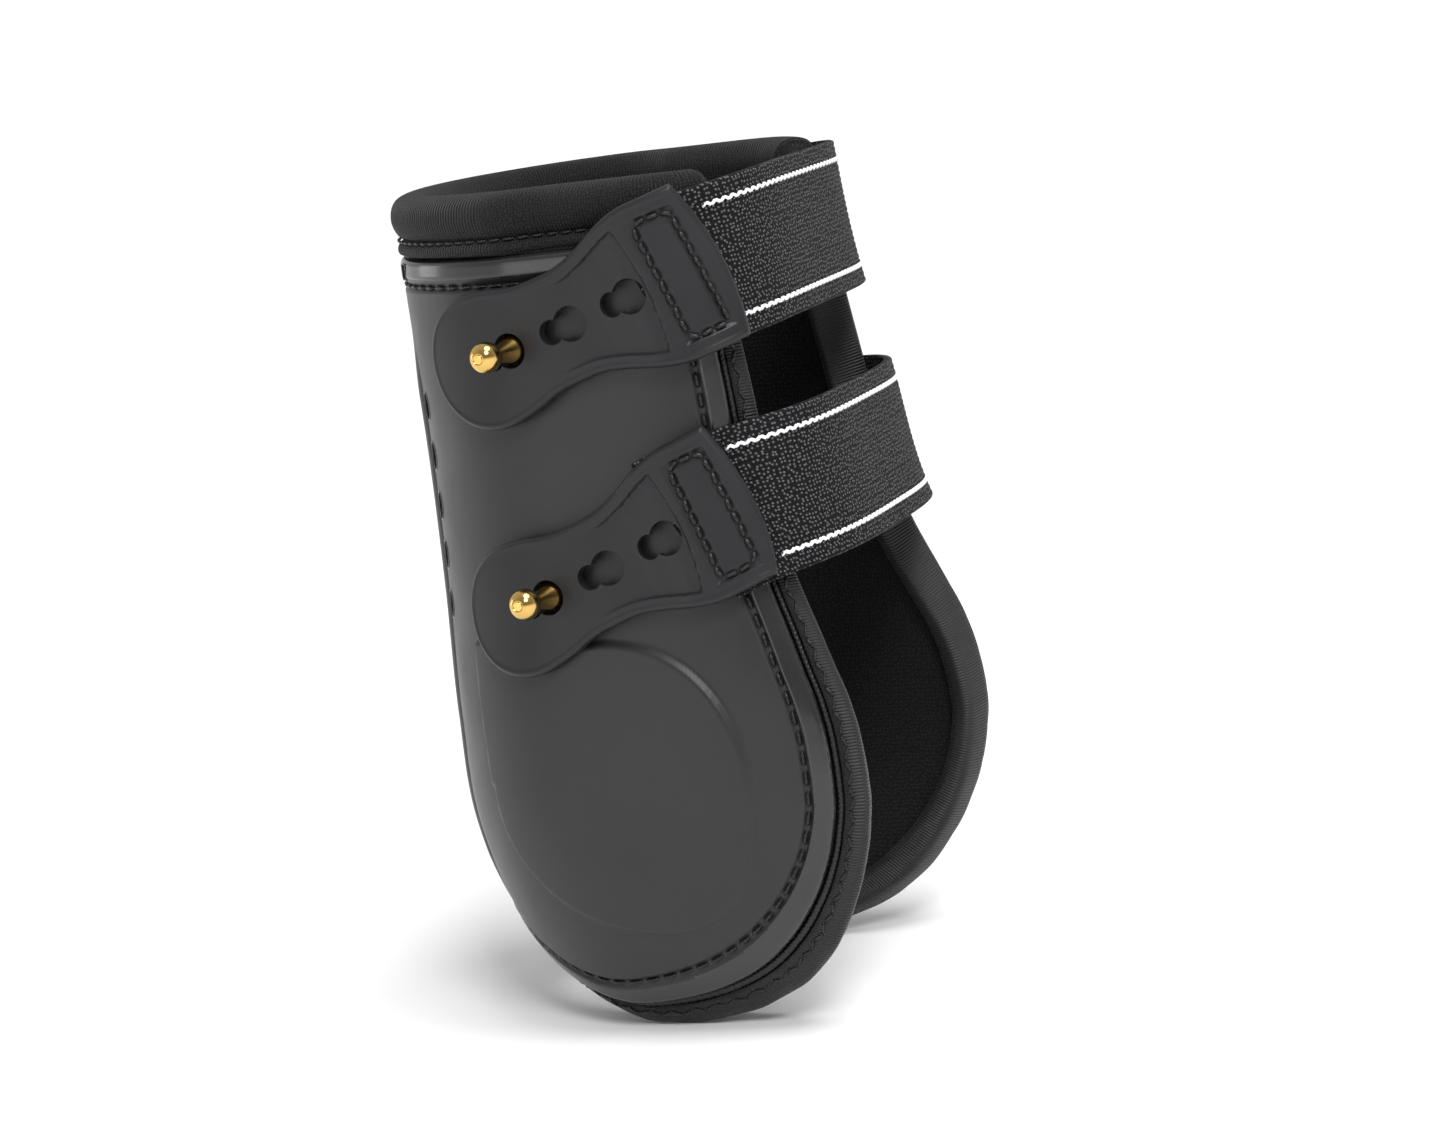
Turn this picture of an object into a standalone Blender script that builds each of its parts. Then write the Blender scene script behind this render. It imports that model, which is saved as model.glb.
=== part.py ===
"""Open-front boot for a horse's right hind fetlock.

A moulded shell on a padded lining wraps the back and both sides of the leg. Two elastic straps
cross the open front, and each ends in a rubber tab with keyholes that hooks on a ball stud.
+X points to the horse's front, -Y is the outer side with the studs, and +Z runs up the leg.
The origin is on the leg's axis at the widest level of the fetlock.
Lengths are in millimetres until a mesh is made.

Places on the boot are given as (girth, height): girth is the distance round the leg from the
back centre line, positive towards the stud side, and lift is the distance out from the shell's
outer face.
"""
import math

import bmesh
import bpy
import numpy as np
from mathutils import Vector

MM = 0.001
GAP = 0.4                       # between pieces that lie against each other

# Horizontal section of the shell's outer face: height, rear depth, half width, front depth
SECTIONS = (
    (-52.0, 24.0, 31.0, 60.0),
    (-40.0, 31.0, 36.5, 66.0),
    (-24.0, 40.0, 42.0, 74.0),
    (-4.0, 45.5, 45.5, 76.0),
    (18.0, 46.0, 45.0, 70.0),
    (45.0, 45.0, 42.5, 53.0),
    (80.0, 44.5, 40.5, 46.0),
    (100.0, 45.0, 40.0, 42.0),
    (132.0, 45.0, 40.0, 39.0),
)
FLANK_START = 8.0               # ahead of the leg's axis, where the flanks start to close in
FLANK_POWER = 3.6               # squareness of the section ahead of that

# Outline of the lining, opened flat
FRONT_REACH = (
    (-10.0, 125.0), (6.0, 126.5), (20.0, 124.5), (33.0, 119.5), (48.0, 113.5),
    (65.0, 110.0), (85.0, 108.0), (132.0, 106.5),
)
WIDEST = 4.0                    # height where the front edge reaches furthest forward
HEM_LOW = -47.0                 # lowest point of the lining
HEM_BACK = -29.0                # its height on the back centre line
HEM_LOW_GIRTH = 50.0
HEM_POWER = 1.75                # squareness of the lower front corners
COLLAR_TOP = 126.0
SHELL_TOP = 113.5
PAD_TOP = 113.0

SHELL_THICK = 2.6
SHELL_INSET = 6.8               # shell edge inside the lining's edge
PAD_THICK = 4.6
FABRIC_THICK = 0.8
PANEL_RISE = 0.8
PANEL_GIRTH, PANEL_HEIGHT, PANEL_RADIUS = 73.0, 6.5, 30.5
PANEL_CORNER = 3.5              # how far its upper rear corner reaches past the disc
SPINE_RISE = 0.8
SPINE_HALF = 20.0
STITCH_INSET = SHELL_INSET + 5.2
STITCH_RADIUS = 0.35
GROOVE_RADIUS, GROOVE_LIFT = 0.95, 0.25     # round cutter that leaves the stitched groove
GROOVE_THREAD, GROOVE_THREAD_LIFT = 0.25, -0.12

VENT_GIRTH = 24.0
VENT_TOP = 83.3
VENT_PITCH = 10.25
VENT_COUNT = 5
VENT_WIDTH, VENT_HEIGHT = 4.4, 5.6
SLOT_WIDTH, SLOT_HEIGHT = 3.6, 3.0

# Straps: name, stud girth, stud height, tab slope, height gained by the strap after the seam
STRAPS = (
    ("upper", 60.5, 95.5, math.radians(18.0), 5.0),
    ("lower", 63.5, 46.5, math.radians(22.0), 6.0),
)
ELASTIC_WIDTH = 30.0
ELASTIC_THICK = 1.6
ELASTIC_LIFT = GAP
TAB_THICK = 2.8
TAB_LOW = PANEL_RISE + GAP
TAB_RAISED = ELASTIC_LIFT + ELASTIC_THICK + GAP
TAB_LOBE_RADIUS, TAB_LOBE_BACK = 13.6, 6.2
TAB_NECK, TAB_HEAD = 10.9, 16.3
TAB_FRONT = 44.0
TAB_SEAM = (33.5, 40.0)         # rear and front of the stitched box
TAB_SEAM_HALF = 12.2
TAB_LAP = 29.0                  # where the elastic ends under the tab
TAB_HINGE = 45.0
HINGE_CLEAR = 0.95
KEYHOLES = (0.0, 13.5, 27.0)
KEYHOLE_BIG, KEYHOLE_SMALL, KEYHOLE_STEP = 3.5, 2.5, 4.2
FAR_FOLD = 97.0                 # girth of the fold where each strap leaves the far flank
FAR_FALL = 0.4                  # how steeply the far end slopes down, beside the near one
ANCHOR_LENGTH = 26.0
ANCHOR_SEAM = (4.0, 20.0)
PATCH_START, PATCH_PAST = 3.3, 3.0       # patch's start behind the fold, and its end past the elastic's
PATCH_THICK, PATCH_WIDTH = 1.4, 33.0

# Ball stud, turned round its own axis: radius and height over the shell's outer face
STUD_PROFILE = (
    (1.25, -2.9), (1.25, 1.0), (0.0, 1.0), (0.0, 15.2), (1.0, 15.2), (1.9, 14.75), (2.75, 13.8),
    (3.1, 12.4), (2.75, 11.0), (1.9, 10.0), (1.4, 9.3), (1.4, 8.8), (1.9, 6.6), (2.6, 4.6),
    (3.05, 3.2), (3.05, 0.3), (2.0, 0.3), (2.0, -2.9),
)
WASHER_PROFILE = ((1.6, -3.4), (6.0, -3.4), (6.0, -4.2), (1.6, -4.2))
SCREW_PROFILE = ((0.0, 0.6), (0.95, 0.6), (0.95, -4.5), (3.6, -4.5), (3.6, -5.4), (0.0, -5.4))
STUD_HOLE = 2.4
POCKET_RADIUS = 7.0

SHELL_COLOUR = (0.050, 0.047, 0.052)
BLACK = (0.014, 0.014, 0.015)
BRASS = (0.80, 0.52, 0.17)
STEEL = (0.55, 0.55, 0.56)


# ---------------------------------------------------------------- curves and surfaces

def smooth_table(keys, at, column):
    """Smooth curve through a table's rows, read at the heights in its first column."""
    rows = np.array(keys, float)
    x, y = rows[:, 0], rows[:, column]
    slope = np.gradient(y, x)
    at = np.clip(np.asarray(at, float), x[0], x[-1])
    i = np.clip(np.searchsorted(x, at) - 1, 0, len(x) - 2)
    span = x[i + 1] - x[i]
    t = (at - x[i]) / span
    rise = t * t * (3 - 2 * t)
    return (y[i] * (1 - rise) + y[i + 1] * rise
            + span * (slope[i] * t * (1 - t) ** 2 - slope[i + 1] * t * t * (1 - t)))


def smoothstep(low, high, value):
    t = np.clip((value - low) / (high - low), 0, 1)
    return t * t * (3 - 2 * t)


def front_curve(angle, half, front):
    """Squared-off front of a section, by the angle from straight out to the side."""
    depth = front - FLANK_START
    reach = ((np.abs(np.sin(angle)) / depth) ** FLANK_POWER
             + (np.abs(np.cos(angle)) / half) ** FLANK_POWER) ** (-1 / FLANK_POWER)
    return FLANK_START + reach * np.sin(angle), reach * np.cos(angle)


def section_at(height):
    return (smooth_table(SECTIONS, height, k) for k in (1, 2, 3))


def rear_girth(height):
    """Girth from the back line to the level of the leg's axis."""
    rear, half, _ = section_at(height)
    return math.pi / 2 * np.sqrt((rear ** 2 + half ** 2) / 2)


TABLE_HEIGHTS = np.linspace(SECTIONS[0][0], SECTIONS[-1][0], 24)
TABLE_ANGLES = np.linspace(0, math.pi / 2, 241)


def front_lengths(height):
    """Distance round the front curve at each table angle, from where the flank starts."""
    _, half, front = section_at(height)
    x, y = front_curve(TABLE_ANGLES, half, front)
    return np.concatenate([[0], np.cumsum(np.hypot(np.diff(x), np.diff(y)))])


FRONT_TABLE = np.array([front_lengths(h) for h in TABLE_HEIGHTS])


def half_girth(height):
    """Girth from the back line to the front centre line."""
    return (rear_girth(height) + FLANK_START
            + np.interp(height, TABLE_HEIGHTS, FRONT_TABLE[:, -1]))


def front_angle(length, height):
    """Angle on the front curve at a distance round it."""
    rows = len(TABLE_HEIGHTS)
    place = np.clip(np.interp(height, TABLE_HEIGHTS, np.arange(rows)), 0, rows - 1.001)
    row = place.astype(int)
    found = np.zeros_like(length)
    for k in np.unique(row):
        here = row == k
        low, high = (np.interp(length[here], FRONT_TABLE[m], TABLE_ANGLES) for m in (k, k + 1))
        share = place[here] - k
        found[here] = low * (1 - share) + high * share
    return found


def skin(girth, height):
    """Point of the shell's outer face, carried on round the open front of the leg."""
    girth, height = (np.array(v) for v in np.broadcast_arrays(np.asarray(girth, float),
                                                              np.asarray(height, float)))
    rear, half, front = section_at(height)
    quarter = rear_girth(height)
    along = np.abs(girth)
    turn = np.minimum(along / quarter, 1) * math.pi / 2
    ahead = np.maximum(along - quarter, 0)
    angle = front_angle(np.maximum(ahead - FLANK_START, 0), height)
    front_x, front_y = front_curve(angle, half, front)
    on_front = ahead > FLANK_START
    x = np.where(on_front, front_x, np.minimum(ahead, FLANK_START) - rear * np.cos(turn))
    y = np.where(on_front, front_y, half * np.sin(turn))
    return np.stack([x, -np.sign(girth) * y, height], -1)


def lifted(surface, a, b, lift):
    """Point at a distance lift outside a surface that is given by two numbers."""
    step = 0.05
    normal = np.cross(surface(a + step, b) - surface(a - step, b),
                      surface(a, b + step) - surface(a, b - step))
    normal /= np.linalg.norm(normal, axis=-1, keepdims=True)
    return surface(a, b) + normal * np.asarray(lift, float)[..., None]


def on_boot(girth, height, lift):
    girth, height, lift = np.broadcast_arrays(*(np.asarray(v, float) for v in (girth, height, lift)))
    return lifted(skin, girth, height, lift)


def hem(across, inset):
    """Girth and height of the bottom outline, across = 0 at the back to 1 at the widest point."""
    reach = smooth_table(FRONT_REACH, WIDEST, 1) - inset
    low, back = HEM_LOW + inset, HEM_BACK + inset
    split = 0.36
    turn = np.clip((across - split) / (1 - split), 0, 1) * math.pi / 2
    round_girth = HEM_LOW_GIRTH + (reach - HEM_LOW_GIRTH) * np.sin(turn) ** (2 / HEM_POWER)
    round_height = WIDEST - (WIDEST - low) * np.cos(turn) ** (2 / HEM_POWER)
    straight = HEM_LOW_GIRTH * np.minimum(across / split, 1)
    drop = np.sin(math.pi / 2 * straight / HEM_LOW_GIRTH) ** 2
    behind = across < split
    return (np.where(behind, straight, round_girth),
            np.where(behind, back + (low - back) * drop, round_height))


def layer_grid(inset, top, columns, rows):
    """Girth and height of a grid that fills the boot's outline, drawn in by inset."""
    across = np.linspace(-1, 1, columns + 1)[:, None]
    up = np.linspace(0, 1, rows + 1)[None, :]
    low_girth, low_height = hem(np.abs(across), inset)
    reach = smooth_table(FRONT_REACH, WIDEST + (top - WIDEST) * up, 1) - inset
    settle = smoothstep(0, 1, up)
    girth = low_girth * reach / reach[0, 0] * (1 - settle) + np.abs(across) * reach * settle
    return np.sign(across) * girth, low_height + (top - low_height) * up


def edge_point(along, inset, top):
    """Outline from the stud side's top (-1) down, round the hem and up the far side (1)."""
    up_share = 0.36
    run = np.abs(along)
    rise = np.clip((run - (1 - up_share)) / up_share, 0, 1)
    height = WIDEST + (top - WIDEST) * rise
    hem_girth, hem_height = hem(np.minimum(run / (1 - up_share), 1), inset)
    on_hem = run < 1 - up_share
    girth = np.where(on_hem, hem_girth, smooth_table(FRONT_REACH, height, 1) - inset)
    return -np.sign(along) * girth, np.where(on_hem, hem_height, height)


def strap_skin(along, height):
    """The skin by the distance from the front centre line, positive on the far side."""
    side = np.where(np.asarray(along) < 0, 1.0, -1.0)
    return skin(side * (half_girth(height) - np.abs(along)), height)


# ---------------------------------------------------------------- meshes

def material(name, colour, roughness, metallic=0.0):
    found = bpy.data.materials.get(name)
    if found:
        return found
    made = bpy.data.materials.new(name)
    made.use_nodes = True
    shader = made.node_tree.nodes["Principled BSDF"]
    shader.inputs["Base Color"].default_value = (*colour, 1)
    shader.inputs["Roughness"].default_value = roughness
    shader.inputs["Metallic"].default_value = metallic
    made.diffuse_color = (*colour, 1)
    return made


def add_object(name, bm, finish):
    bmesh.ops.triangulate(bm, faces=[f for f in bm.faces if len(f.verts) > 4])
    mesh = bpy.data.meshes.new(name)
    bm.to_mesh(mesh)
    bm.free()
    mesh.shade_smooth()
    mesh.set_sharp_from_angle(angle=math.radians(40))
    made = bpy.data.objects.new(name, mesh)
    made.data.materials.append(finish)
    bpy.context.scene.collection.objects.link(made)
    return made


def slab(outer, inner):
    """Closed solid between two grids of points, the outer one first."""
    bm = bmesh.new()
    columns, rows = outer.shape[:2]
    sheets = [[[bm.verts.new(Vector(p) * MM) for p in column] for column in grid]
              for grid in (outer, inner)]
    top, under = sheets
    for i in range(columns - 1):
        for j in range(rows - 1):
            bm.faces.new((top[i][j], top[i + 1][j], top[i + 1][j + 1], top[i][j + 1]))
            bm.faces.new((under[i][j], under[i][j + 1], under[i + 1][j + 1], under[i + 1][j]))
    rim = ([(i, 0) for i in range(columns)] + [(columns - 1, j) for j in range(1, rows)]
           + [(i, rows - 1) for i in range(columns - 2, -1, -1)]
           + [(0, j) for j in range(rows - 2, 0, -1)])
    for (a, b), (c, d) in zip(rim, rim[1:] + rim[:1]):
        bm.faces.new((top[c][d], top[a][b], under[a][b], under[c][d]))
    bmesh.ops.recalc_face_normals(bm, faces=bm.faces)
    return bm


def swept(rings, closed=False):
    """Closed solid through rings of points, capped at both ends or joined end to end."""
    bm = bmesh.new()
    loops = [[bm.verts.new(Vector(p) * MM) for p in ring] for ring in rings]
    count = len(loops[0])
    pairs = list(zip(loops, loops[1:])) + ([(loops[-1], loops[0])] if closed else [])
    for a, b in pairs:
        for k in range(count):
            m = (k + 1) % count
            bm.faces.new((a[k], a[m], b[m], b[k]))
    if not closed:
        bm.faces.new(loops[0])
        bm.faces.new(loops[-1][::-1])
    bmesh.ops.recalc_face_normals(bm, faces=bm.faces)
    return bm


def turned(profile, origin, axes, steps=14):
    """Closed solid of revolution; axes are the two radial directions and the axis itself."""
    bm = bmesh.new()
    right, up, out = (Vector(a) for a in axes)
    rings = []
    for radius, along in profile:
        if radius == 0:
            rings.append([bm.verts.new((Vector(origin) + out * along) * MM)])
            continue
        turn = [2 * math.pi * k / steps for k in range(steps)]
        rings.append([bm.verts.new((Vector(origin) + out * along
                                    + (right * math.cos(t) + up * math.sin(t)) * radius) * MM)
                      for t in turn])
    for a, b in zip(rings, rings[1:] + rings[:1]):
        if len(a) == 1 and len(b) == 1:
            continue
        for k in range(steps):
            m = (k + 1) % steps
            bm.faces.new([v for v in dict.fromkeys(
                (a[k % len(a)], a[m % len(a)], b[m % len(b)], b[k % len(b)]))])
    bmesh.ops.recalc_face_normals(bm, faces=bm.faces)
    return bm


def cut_holes(target, name, cutters):
    """Take a group of closed cutters out of an object."""
    joined = bmesh.new()
    for cutter in cutters:
        piece = bpy.data.meshes.new("cutter_piece")
        cutter.to_mesh(piece)
        cutter.free()
        joined.from_mesh(piece)
        bpy.data.meshes.remove(piece)
    mesh = bpy.data.meshes.new(name)
    joined.to_mesh(mesh)
    joined.free()
    guide = bpy.data.objects.new(name, mesh)
    bpy.context.scene.collection.objects.link(guide)
    guide.hide_render = True
    guide.display_type = "WIRE"
    hole = target.modifiers.new("holes", "BOOLEAN")
    hole.operation = "DIFFERENCE"
    hole.object = guide


def frame_at(girth, height):
    """Point on the shell's face there, and its forward, upward and outward directions."""
    point = on_boot(girth, height, 0.0)
    out = on_boot(girth, height, 1.0) - point
    forward = np.cross((0.0, 0.0, 1.0), out) * (1 if girth > 0 else -1)
    forward /= np.linalg.norm(forward)
    up = np.cross(out, forward) * (1 if girth > 0 else -1)
    return point, forward, up, out


def prism(outline, girth, height, slope, low, high):
    """Cutter with a flat outline, standing square on the shell at one place."""
    point, forward, up, out = frame_at(girth, height)
    along = forward * math.cos(slope) + up * math.sin(slope)
    across = up * math.cos(slope) - forward * math.sin(slope)
    return swept([[point + along * a + across * b + out * h for a, b in outline]
                  for h in (low, high)])


def circle(radius, steps, centre=(0.0, 0.0), squash=1.0):
    return [(centre[0] + radius * math.cos(2 * math.pi * k / steps),
             centre[1] + radius * squash * math.sin(2 * math.pi * k / steps))
            for k in range(steps)]


# ---------------------------------------------------------------- shell and lining

def panel_shape(girth, height):
    """1 inside the drop-shaped strike panel, 0 outside, soft over its bevel."""
    right, up = np.abs(girth) - PANEL_GIRTH, height - PANEL_HEIGHT
    disc = PANEL_RADIUS - np.hypot(right, up)
    rear, top = right + PANEL_RADIUS + PANEL_CORNER, PANEL_RADIUS - up
    corner = np.minimum(np.minimum(rear - 0.08 * top, top), np.minimum(-right, up))
    return smoothstep(-0.2, 2.2, np.maximum(disc, corner))


def relief(girth, height):
    spine = smoothstep(SPINE_HALF + 1.5, SPINE_HALF - 1.5, np.abs(girth))
    low, high = smoothstep(-30, -10, height), smoothstep(100, 84, height)
    return PANEL_RISE * panel_shape(girth, height) + SPINE_RISE * spine * low * high


def build_shell():
    girth, height = layer_grid(SHELL_INSET, SHELL_TOP, 36, 18)
    shell = add_object("outer_shell",
                       slab(on_boot(girth, height, relief(girth, height)),
                            on_boot(girth, height, -SHELL_THICK)),
                       material("shell_tpu", SHELL_COLOUR, 0.5))
    cutters = []
    for side in (-1, 1):
        for k in range(VENT_COUNT):
            outline = circle(VENT_WIDTH / 2, 10, squash=VENT_HEIGHT / VENT_WIDTH)
            cutters.append(prism(outline, side * VENT_GIRTH, VENT_TOP - k * VENT_PITCH, 0, -5, 5))
        w, h = SLOT_WIDTH / 2, SLOT_HEIGHT / 2
        slot = [(-w, -h), (w, -h), (w, h), (-w, h)]
        cutters.append(prism(slot, side * VENT_GIRTH, SHELL_TOP - 2.8, 0, -5, 5))
    for _, girth, height, _, _ in STRAPS:
        cutters.append(prism(circle(STUD_HOLE, 16), girth, height, 0, -6, 5))
    cut_holes(shell, "shell_hole_cutter", cutters)
    groove = tube(shell_seam(GROOVE_LIFT), GROOVE_RADIUS, closed=True, sides=5)
    cut_holes(shell, "shell_groove_cutter", [groove])


def build_lining():
    pad_outer = -SHELL_THICK - GAP
    fabric_outer = pad_outer - PAD_THICK - GAP
    edge = 2.8
    girth, height = layer_grid(edge, PAD_TOP, 28, 12)
    pad = add_object("lining_pad",
                     slab(on_boot(girth, height, pad_outer),
                          on_boot(girth, height, pad_outer - PAD_THICK)),
                     material("neoprene", BLACK, 0.85))
    pockets = [prism(circle(POCKET_RADIUS, 16), girth, height, 0, pad_outer - 2.9, pad_outer + 2)
               for _, girth, height, _, _ in STRAPS]
    cut_holes(pad, "pad_pocket_cutter", pockets)
    add_object("lining_fabric",
               slab(on_boot(girth, height, fabric_outer),
                    on_boot(girth, height, fabric_outer - FABRIC_THICK)),
               material("knit_fabric", BLACK, 0.9))
    return pad_outer, fabric_outer - FABRIC_THICK


def edge_trim(name, profile, top, steps, finish):
    """Sweep a profile of (inset, lift) points round the boot's outline."""
    rings = []
    for along in np.linspace(-1, 1, steps + 1):
        ring = []
        for inset, lift in profile:
            girth, height = edge_point(np.float64(along), inset, top)
            ring.append(on_boot(girth, height, lift))
        rings.append(ring)
    add_object(name, swept(rings), finish)


def build_edges(pad_outer, fabric_inner):
    black = material("binding_tape", BLACK, 0.8)
    outside, inside = pad_outer + 1.5, fabric_inner - 1.7
    leg = 5.0
    binding = [(leg, outside), (1.2, outside), (0.3, outside - 0.9), (0.0, outside - 2.4),
               (0.0, inside + 2.4), (0.3, inside + 0.9), (1.2, inside), (leg, inside),
               (leg, inside + 0.9), (1.6, inside + 0.9), (1.15, inside + 1.6),
               (1.15, outside - 1.6), (1.6, outside - 0.9), (leg, outside - 0.9)]
    edge_trim("edge_binding", binding, PAD_TOP, 50, black)
    piping_inset, piping_radius = (leg + SHELL_INSET) / 2, 0.55
    piping = [(piping_inset + a, pad_outer + GAP + piping_radius + b)
              for a, b in circle(piping_radius, 6)]
    edge_trim("edge_piping", piping, PAD_TOP, 50, black)
    thread = material("thread", BLACK, 0.6)
    seam = [(3.2 + a, outside + 0.3 + STITCH_RADIUS + b) for a, b in circle(STITCH_RADIUS, 5)]
    edge_trim("binding_stitching", seam, PAD_TOP, 50, thread)


def shell_seam(lift):
    """Path of the stitched groove: round the outline and back along the top."""
    top = SHELL_TOP - 5.5
    girths, heights = edge_point(np.linspace(-1, 1, 51), STITCH_INSET, top)
    across = np.linspace(girths[-1], girths[0], 20)[1:-1]
    girths = np.concatenate([girths, across])
    heights = np.concatenate([heights, np.full(len(across), top)])
    return on_boot(girths, heights, relief(girths, heights) + lift)


def build_shell_stitching():
    """One thread in the groove round the shell."""
    add_object("shell_stitching", tube(shell_seam(GROOVE_THREAD_LIFT), GROOVE_THREAD, closed=True),
               material("thread", BLACK, 0.6))


def tube(path, radius, closed=False, sides=5):
    """Round tube along a path of points."""
    rings = []
    path = np.asarray(path)
    count = len(path)
    for k in range(count):
        ahead = path[(k + 1) % count] if closed or k < count - 1 else path[k]
        behind = path[(k - 1) % count] if closed or k > 0 else path[k]
        along = Vector(ahead - behind).normalized()
        outward = Vector((path[k][0], path[k][1], 0)).normalized()
        side = along.cross(outward).normalized()
        out = side.cross(along)
        rings.append([Vector(path[k]) + side * radius * math.cos(t) + out * radius * math.sin(t)
                      for t in (2 * math.pi * m / sides for m in range(sides))])
    return swept(rings, closed)


def collar_dip(girth):
    """How far the collar is pressed in under the straps, ahead of the studs."""
    return -2.2 * smoothstep(56, 70, np.abs(girth))


def build_collar():
    """Padded roll round the top, with a smaller roll under it."""
    low, waist = SHELL_TOP + 0.5, SHELL_TOP + 3.4
    profile = [(0.0, low), (0.5, low + 1.2), (0.1, waist - 0.4), (-1.2, waist),
               (0.2, waist + 0.9), (1.2, waist + 3.2), (1.0, waist + 6.0),
               (-0.8, COLLAR_TOP - 0.7), (-3.8, COLLAR_TOP), (-7.0, COLLAR_TOP - 0.9),
               (-9.2, waist + 5.4), (-9.4, waist + 2.0), (-8.8, low)]
    reach = smooth_table(FRONT_REACH, SHELL_TOP, 1) - 0.5
    rings = [[on_boot(girth, height, lift + collar_dip(girth)) for lift, height in profile]
             for girth in np.linspace(-reach, reach, 31)]
    add_object("collar_roll", swept(rings), material("neoprene", BLACK, 0.85))
    girths = np.linspace(-reach + 1, reach - 1, 36)
    path = on_boot(girths, waist, 0.95 + collar_dip(girths))
    add_object("collar_stitching", tube(path, STITCH_RADIUS), material("thread", BLACK, 0.6))


# ---------------------------------------------------------------- studs, tabs and straps

def build_stud(name, girth, height):
    point, forward, up, out = frame_at(girth, height)
    axes = (forward, up, out)
    brass = material("polished_brass", BRASS, 0.18, 1.0)
    steel = material("zinc_steel", STEEL, 0.35, 1.0)
    add_object(f"{name}_stud", turned(STUD_PROFILE, point, axes), brass)
    add_object(f"{name}_stud_washer", turned(WASHER_PROFILE, point, axes), steel)
    add_object(f"{name}_stud_screw", turned(SCREW_PROFILE, point, axes), steel)


def tab_half_width(u):
    """Half width of a tab: a round rear lobe, a waist and a flared front end."""
    lobe = np.sqrt(np.maximum(TAB_LOBE_RADIUS ** 2 - (u + TAB_LOBE_BACK) ** 2, 0.0))
    lobe = np.where(u > TAB_LOBE_RADIUS - TAB_LOBE_BACK, 0.0, lobe)
    neck = TAB_NECK + (TAB_HEAD - TAB_NECK) * smoothstep(13, 34, u)
    neck = np.where(u < -TAB_LOBE_BACK, 0.0, neck)
    fillet = 2.5 * smoothstep(-TAB_LOBE_BACK, 2.0, u)
    return np.where(u < -TAB_LOBE_BACK, lobe,
                    (lobe + neck + np.hypot(lobe - neck, fillet)) / 2)


def tab_place(strap, u, w):
    """Girth and height of a place on a tab, u towards the front and w upwards from the stud."""
    _, girth, height, slope, _ = strap
    return (girth + u * math.cos(slope) - w * math.sin(slope),
            height + u * math.sin(slope) + w * math.cos(slope))


def tab_lift(u):
    """Height of a tab's underside: just clear of the strike panel, then up over the elastic."""
    return TAB_LOW + (TAB_RAISED - TAB_LOW) * smoothstep(20, 28, u)


def build_tab(strap):
    name = strap[0]
    start = -TAB_LOBE_BACK - TAB_LOBE_RADIUS + 0.12
    turn = np.linspace(0, 1, 8) ** 2
    lobe = start + (-TAB_LOBE_BACK - start) * turn
    u = np.concatenate([lobe, np.linspace(-TAB_LOBE_BACK, TAB_FRONT, 18)[1:]])[:, None]
    v = np.linspace(-1, 1, 7)[None, :]
    half = tab_half_width(u)
    w = v * half
    u = u - 1.8 * v ** 2 * smoothstep(TAB_SEAM[0], TAB_FRONT, u)
    girth, height = tab_place(strap, u, w)
    under = tab_lift(u)
    tab = add_object(f"{name}_tab",
                     slab(on_boot(girth, height, under + TAB_THICK), on_boot(girth, height, under)),
                     material("tab_rubber", SHELL_COLOUR, 0.42))
    cutters = []
    for k in KEYHOLES:
        centre_girth, centre_height = tab_place(strap, k, 0.0)
        cutters.append(prism(keyhole_outline(), centre_girth, centre_height, strap[3], -3, 9))
    cut_holes(tab, f"{name}_keyhole_cutter", cutters)
    build_tab_stitching(strap)


def keyhole_outline():
    """Round hole for the ball with a smaller round hole behind it."""
    meet = (KEYHOLE_STEP ** 2 + KEYHOLE_BIG ** 2 - KEYHOLE_SMALL ** 2) / (2 * KEYHOLE_STEP)
    big = math.acos(meet / KEYHOLE_BIG)
    small = math.acos((KEYHOLE_STEP - meet) / KEYHOLE_SMALL)
    outline = [(-KEYHOLE_BIG * math.cos(a), KEYHOLE_BIG * math.sin(a))
               for a in np.linspace(big, 2 * math.pi - big, 15)]
    outline += [(-KEYHOLE_STEP + KEYHOLE_SMALL * math.cos(a), -KEYHOLE_SMALL * math.sin(a))
                for a in np.linspace(small, 2 * math.pi - small, 10)[1:-1]]
    return outline


def rounded_box(rear, front, half, corner, steps=4):
    """Outline of a box with round corners, as (u, w) points."""
    points = []
    for turn, (u, w) in enumerate(((front, half), (rear, half), (rear, -half), (front, -half))):
        cu = u - corner if u == front else u + corner
        cw = w - corner if w > 0 else w + corner
        points += [(cu + corner * math.cos(a), cw + corner * math.sin(a))
                   for a in np.linspace(turn, turn + 1, steps) * math.pi / 2]
    return points


def build_tab_stitching(strap):
    box = dense(rounded_box(*TAB_SEAM, TAB_SEAM_HALF, 1.6), 2.6)
    u, w = box[:, 0], box[:, 1]
    girth, height = tab_place(strap, u, w)
    path = on_boot(girth, height, tab_lift(u) + TAB_THICK + 0.3 + STITCH_RADIUS)
    add_object(f"{strap[0]}_tab_stitching", tube(path, STITCH_RADIUS, closed=True),
               material("thread", BLACK, 0.6))


def dense(outline, spacing):
    """Closed outline with extra points, so that it can follow a curved surface."""
    points = []
    for (a, b), (c, d) in zip(outline, outline[1:] + outline[:1]):
        count = max(1, round(math.hypot(c - a, d - b) / spacing))
        points += [(a + (c - a) * k / count, b + (d - b) * k / count) for k in range(count)]
    return np.array(points)


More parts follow.
